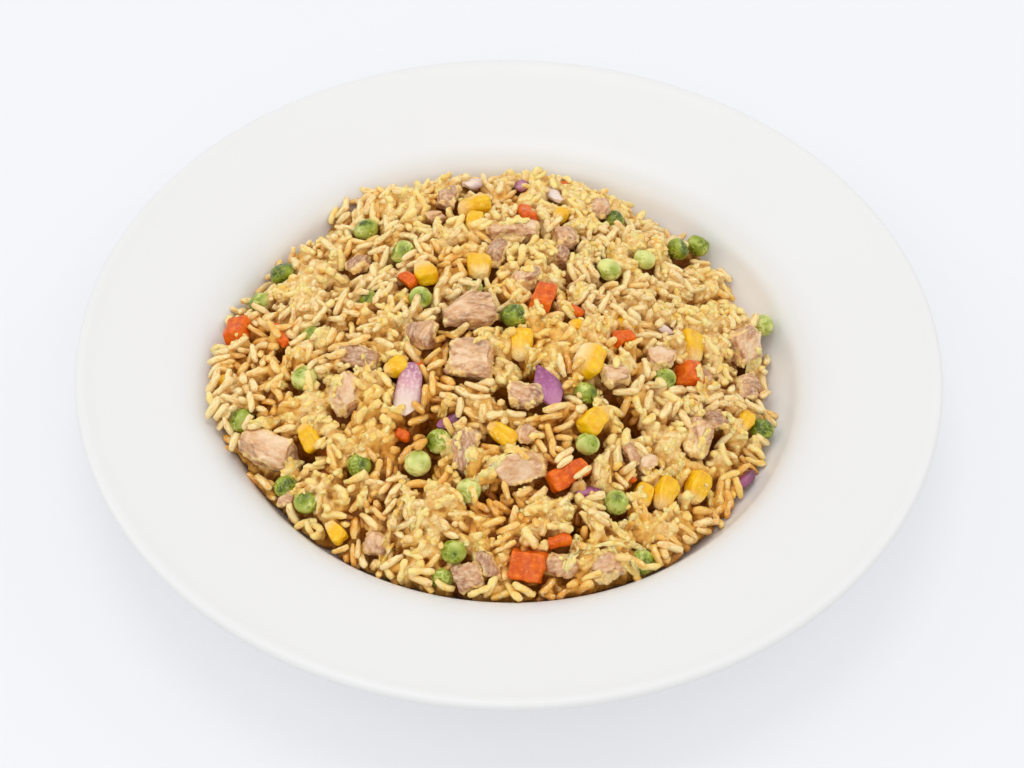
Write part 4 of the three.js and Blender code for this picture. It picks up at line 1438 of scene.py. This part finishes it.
crumb_forms = [crumb_form(90 + 3 * i) for i in range(8)]
crumbs = []
for _ in range(760):
    x, y = egg_spot()
    size = min(0.75 * math.exp(egg_draw.normal(0, 0.42)), 1.6) * mm
    length = size * 2 * egg_draw.uniform(1, 1.7)
    level = float(ground[cell_of(np.array(x)), cell_of(np.array(y))])
    crumb = (x, y, level - 0.35 * size, egg_draw.uniform(0, math.pi), egg_draw.uniform(-0.4, 0.4),
             length, 2 * size)
    raise_ground(*crumb)
    crumbs.append(crumb)
egg_crumbs, crumb_tones = joined_copies(
    "egg_crumbs", crumb_forms, [long_place(*crumb) for crumb in crumbs],
    egg_draw.uniform(0, 1, len(crumbs)),
)


def paint_shade_by_depth(nodes, links, color, deep):
    """Painted shade: browner the deeper a point lies between the grains, where the shade falls."""
    return blended(nodes, links, stored(nodes, "depth")["Fac"], color, deep)


egg_finish, nodes, links, shader = plain_material("cooked_egg", 0.45)
egg_place = nodes.new("ShaderNodeTexCoord").outputs["Object"]
egg_ramp = color_ramp(
    nodes, links, stored(nodes, "tone")["Fac"], (0.98, 0.54, 0.06), (1.0, 0.77, 0.29)
)
egg_fried = add_mottle(
    nodes, links, egg_place, 500, 0.38, 0.12, (0.90, 0.45, 0.05), egg_ramp.outputs["Color"]
)
egg_color = add_mottle(nodes, links, egg_place, 650, 0.55, 0.08, egg_fried, (1.0, 0.79, 0.38))
# Painted shade: the brown that darkens the egg and grains where they lie deep between the grains.
painted_shade_brown = (0.37, 0.11, 0.002)
links.new(paint_shade_by_depth(nodes, links, egg_color, painted_shade_brown), shader.inputs["Base Color"])
rough_surface(nodes, links, egg_place, shader, 900, 0.6 * mm)
moist(shader, 0.35, (1, 0.45, 0.12), 1.4 * mm, 0.12, 0.25, 0.25)


# The finish of the egg and the grains. Both get painted shade, browner, where they are sunk in the
# heap and a painted highlight, paler, where they stand out of it, and whole patches of the heap are
# paler or browner than the rest. Grains of like tone make one piece.
rice_level = levelled(ground, ~is_topped, ground, (8, 4), 0.12)
fine_level = levelled(rice_level, ~is_topped, ground, (2.4, 1.5), 0.25)
# Where the rice is paler or browner: place and reach in mm, and by how much
tone_patches = (
    (-58, 25, 22, 0.2), (5, 80, 30, 0.2), (25, 22, 14, 0.16), (45, 38, 16, 0.16), (62, 8, 20, 0.16),
    (50, -25, 16, 0.12), (-22, -62, 10, 0.12), (28, -52, 9, 0.3), (44, 34, 26, 0.12),
    (-36, -68, 10, 0.2), (-50, 14, 12, 0.16), (-95, -25, 14, 0.2), (5, 38, 8, 0.2),
    (-4, -10, 16, -0.2), (-24, -38, 11, -0.5), (-42, -20, 10, -0.4), (-61, -46, 9, -0.5),
    (-10, -86, 16, -0.3), (3, -28, 9, -0.45), (82, -4, 9, -0.36), (22, 0, 7, -0.3),
    (-20, 22, 8, -0.3), (2, 26, 9, -0.35), (17, 38, 6, -0.35), (-50, 31, 6, -0.35),
    (-22, 64, 7, -0.4), (45, -66, 12, -0.2), (36, -30, 8, -0.5), (20, -47, 6, -0.4),
    (33, -66, 7, -0.4), (21, -71, 6, -0.4), (-6, -62, 7, -0.4), (75, -37, 9, -0.4),
    (-46, -68, 7, -0.4), (70, 0, 6, -0.3), (-19, -8, 6, -0.4), (14, -88, 10, -0.5),
    (-33, -58, 8, -0.25), (-86, -12, 10, -0.25), (56, -68, 10, -0.3), (0, -42, 9, -0.2),
    (-42, -44, 30, -0.14), (0, -74, 26, -0.14), (4, -22, 22, -0.12), (0, 66, 36, 0.14),
    (50, 22, 30, 0.12), (-62, 30, 26, 0.1), (-13, -55, 8, -0.3), (27, -54, 9, 0.2),
    (-52, -54, 9, -0.2), (30, 62, 12, 0.14), (35, 40, 13, 0.12), (58, 20, 13, 0.14),
    (56, -8, 12, 0.14), (56, -25, 10, 0.14), (-32, -10, 9, -0.25), (10, -10, 9, -0.2),
    (-55, 8, 12, 0.14),
)
# Where the rice is browner, the painted shade in its gaps is deeper too.
shade_patches = np.zeros(map_x.shape)
# The raised clumps are paler and the hollows between them darker: painted highlight and painted
# shade.
tone_map = 0.64 + 0.4 * field(0.035, 33) + 0.5 * field(0.08, 31) + 0.06 * clumps
for x, y, reach, amount in tone_patches:
    tone_map += max(amount, 0.7 * amount) * hill(x, y, reach)
    shade_patches += max(0, -amount) * hill(x, y, reach)
curd_tones = np.empty(len(egg.data.vertices), dtype=np.float32)
egg.data.attributes["first_tone"].data.foreach_get("value", curd_tones)
for piece, tones in ((egg, curd_tones), (egg_crumbs, crumb_tones)):
    keep_depth(piece, tones)
    attach(piece, piece.name, egg_finish)

all_grains = lower_grains + middle_grains + upper_grains
grain_places = [long_place(*grain) for grain in all_grains]
grain_cells = (
    cell_of(np.array([grain[0] for grain in all_grains])),
    cell_of(np.array([grain[1] for grain in all_grains])),
)
# Painted highlight: a grain that lies higher than the rice around it is paler, and one that lies
# lower is darker.
grain_rise = np.array([grain[2] for grain in all_grains]) - rice_level[grain_cells]
grain_tones = tone_map[grain_cells] + 0.06 * np.clip(grain_rise / mm, -3, 2)
grain_tones = np.clip(grain_tones + lay_draw.normal(0, 0.11, len(all_grains)), 0, 1)
is_coated = egg_share[grain_cells] + lay_draw.normal(0, 0.25, len(all_grains)) > 0.66


def rice_colors(nodes, links):
    """The colours of the rice by its tone, from toasted to pale."""
    return color_ramp(
        nodes, links, stored(nodes, "tone")["Fac"], (0.66, 0.245, 0.02), (1.0, 0.79, 0.39),
        ((0.3, (0.89, 0.435, 0.055)), (0.62, (0.98, 0.61, 0.15))),
    ).outputs["Color"]


rice, nodes, links, shader = plain_material("cooked_rice", 0.4)
along_grain = nodes.new("ShaderNodeMapping")
along_grain.inputs["Scale"].default_value = (0.35, 1, 1)
links.new(stored(nodes, "place")["Vector"], along_grain.inputs["Vector"])
rice_place = along_grain.outputs["Vector"]
rice_toasted = add_mottle(
    nodes, links, rice_place, 1.1, 0.42, 0.1, (0.84, 0.39, 0.05), rice_colors(nodes, links)
)
rice_color = add_mottle(nodes, links, rice_place, 1.5, 0.6, 0.08, rice_toasted, (1.0, 0.84, 0.50))
links.new(paint_shade_by_depth(nodes, links, rice_color, painted_shade_brown), shader.inputs["Base Color"])
rough_surface(nodes, links, rice_place, shader, 1.2, 0.8 * mm)
moist(shader, 0.3, (1, 0.5, 0.15), 1.2 * mm, 0.3, 0.2, 0.3)
order = np.argsort(grain_tones)
toasted, golden, pale = np.array_split([i for i in order if not is_coated[i]], 3)
coated = [i for i in order if is_coated[i]]
for name, forms, finish, chosen in (
    ("toasted_grains", plain_forms, rice, toasted),
    ("golden_grains", plain_forms, rice, golden),
    ("pale_grains", plain_forms, rice, pale),
    ("egg_coated_grains", coated_forms, egg_finish, coated),
):
    piece, tones = joined_copies(
        name, forms, [grain_places[i] for i in chosen], [grain_tones[i] for i in chosen]
    )
    keep_depth(piece, tones)
    attach(piece, name, finish)


# The imported rice. Under and between the grains that can be told apart the heap is one mass of
# rice, egg and sauce stuck together. It fills the well of the plate and rises round the pieces
# that lie in it, and painted shade makes it brown in the gaps.
packed_step = 2
packed_gap = 0.5 * mm
packed_grain = 1.03 * mm
bed = levelled(ground, ~is_topped, ground, (5, 1.8, 0.9), 0.12)
inner = np.clip(2.4 * blurred(is_heap.astype(float), 1.6 * mm) - 1.4, 0, 1)
crusty = np.clip(2.4 * egg_share - 1.1 + 1.6 * field(0.2, 93), 0, 1)
sink = 0.6 + 1.1 * np.clip(0.4 + 2.4 * field(0.12, 91), 0, 1) + 1.1 * (1 - inner) + 1.0 * topped
sink -= 0.9 * crusty * inner
packed_top = bed - sink * mm - gap_depth
is_packed = is_heap & (packed_top > plate_level + 2 * packed_gap)
packed_index = {}
packed_points = []
packed_cells = np.zeros(map_x.shape, dtype=bool)
packed_cells[::packed_step, ::packed_step] = True
for i, j in zip(*np.nonzero(packed_cells & is_packed)):
    packed_index[i, j] = len(packed_points) // 2
    packed_points.append((map_x[i, j], map_y[i, j], packed_top[i, j]))
    packed_points.append((map_x[i, j], map_y[i, j], plate_level[i, j] + packed_gap))
packed_rings = []
for i, j in packed_index:
    far_i, far_j = i + packed_step, j + packed_step
    ring = [(i, j), (far_i, j), (far_i, far_j), (i, far_j)]
    if all(cell in packed_index for cell in ring):
        packed_rings.append([2 * packed_index[cell] for cell in ring])
packed = new_piece("packed_rice", packed_points, shell_faces(packed_rings, 1))
bpy.ops.object.mode_set(mode="EDIT")
bpy.ops.mesh.select_all(action="SELECT")
bpy.ops.mesh.delete_loose(use_verts=True, use_edges=True, use_faces=False)
bpy.ops.object.mode_set(mode="OBJECT")
packed.data.remesh_voxel_size = packed_grain
bpy.ops.object.voxel_remesh()
packed_local = points_of(packed)
packed_relief = 1.1 * waves(packed_local / mm, 0.4, 3) + 0.9 * waves(packed_local / mm, 0.62, 7)
packed_relief += 0.8 * np.abs(waves(packed_local / mm, 0.3, 5))
over_plate = packed_local[:, 2] - look_up(plate_level, packed_local[:, 0], packed_local[:, 1])
packed_relief *= np.clip(over_plate / (3 * mm) - 0.3, 0, 1)
push_out(packed, packed_relief)
bpy.ops.object.shade_smooth()

sauce, nodes, links, shader = plain_material("packed_rice", 0.5)
sauce_place = nodes.new("ShaderNodeTexCoord").outputs["Object"]
sauce_color = add_mottle(
    nodes, links, sauce_place, 420, 0.5, 0.15, rice_colors(nodes, links), (0.74, 0.38, 0.07)
)
# Painted shade: the darker brown for the deep hollows and gaps of the packed rice.
deep_painted_shade = (0.26, 0.075, 0.003)
packed_x, packed_y, _ = points_of(packed).T
keep_depth(packed, look_up(tone_map + 0.3 * crusty, packed_x, packed_y))
links.new(paint_shade_by_depth(nodes, links, sauce_color, deep_painted_shade), shader.inputs["Base Color"])
rough_surface(nodes, links, sauce_place, shader, 900, 0.7 * mm)
moist(shader, 0.15, (1, 0.6, 0.25), 1.2 * mm, 0.05, 0.3, 0.2)
attach(packed, "packed_rice", sauce, "rice")


# The floor and the light. A plain pale table that glows a little, in a studio lit from all
# round, with large soft lights in front, at both sides and overhead, so that hardly a shadow
# falls.
floor_tone = (0.46, 0.466, 0.48)
floor = started_from(bpy.ops.mesh.primitive_plane_add, size=6)
floor.name = "pale_floor"
floor_finish, nodes, links, shader = plain_material("pale_paper", 0.9)
floor_place = nodes.new("ShaderNodeTexCoord").outputs["Object"]
links.new(
    add_mottle(nodes, links, floor_place, 3, 0.5, 0.3, floor_tone, (0.454, 0.46, 0.474)),
    shader.inputs["Base Color"],
)
shader.inputs["Specular IOR Level"].default_value = 0.1
shader.inputs["Emission Color"].default_value = (0.97, 0.975, 1, 1)
shader.inputs["Emission Strength"].default_value = 0.42
floor.data.materials.append(floor_finish)

world = bpy.data.worlds.new("studio")
world.use_nodes = True
world.node_tree.nodes["Background"].inputs["Color"].default_value = (1, 1, 1, 1)
world.node_tree.nodes["Background"].inputs["Strength"].default_value = 0.78
bpy.context.scene.world = world


def soft_light(name, spot, size, energy):
    """A large soft light that faces the plate."""
    bpy.ops.object.light_add(type="AREA", location=spot)
    light = bpy.context.object
    light.name = name
    light.data.shape = "DISK"
    light.data.size = size
    light.data.energy = energy
    light.rotation_euler = (-Vector(spot)).to_track_quat("-Z", "Y").to_euler()
    return light


soft_light("front_light", (0, -1.0, 1.15), 1.2, 3.4)
soft_light("left_light", (-1.25, 0.15, 0.9), 0.9, 2.6)
soft_light("right_light", (1.1, 0.4, 1.0), 0.9, 1.9)
soft_light("top_light", (-0.1, 0.2, 1.35), 0.7, 2.8)
bpy.context.scene.view_settings.view_transform = "Standard"
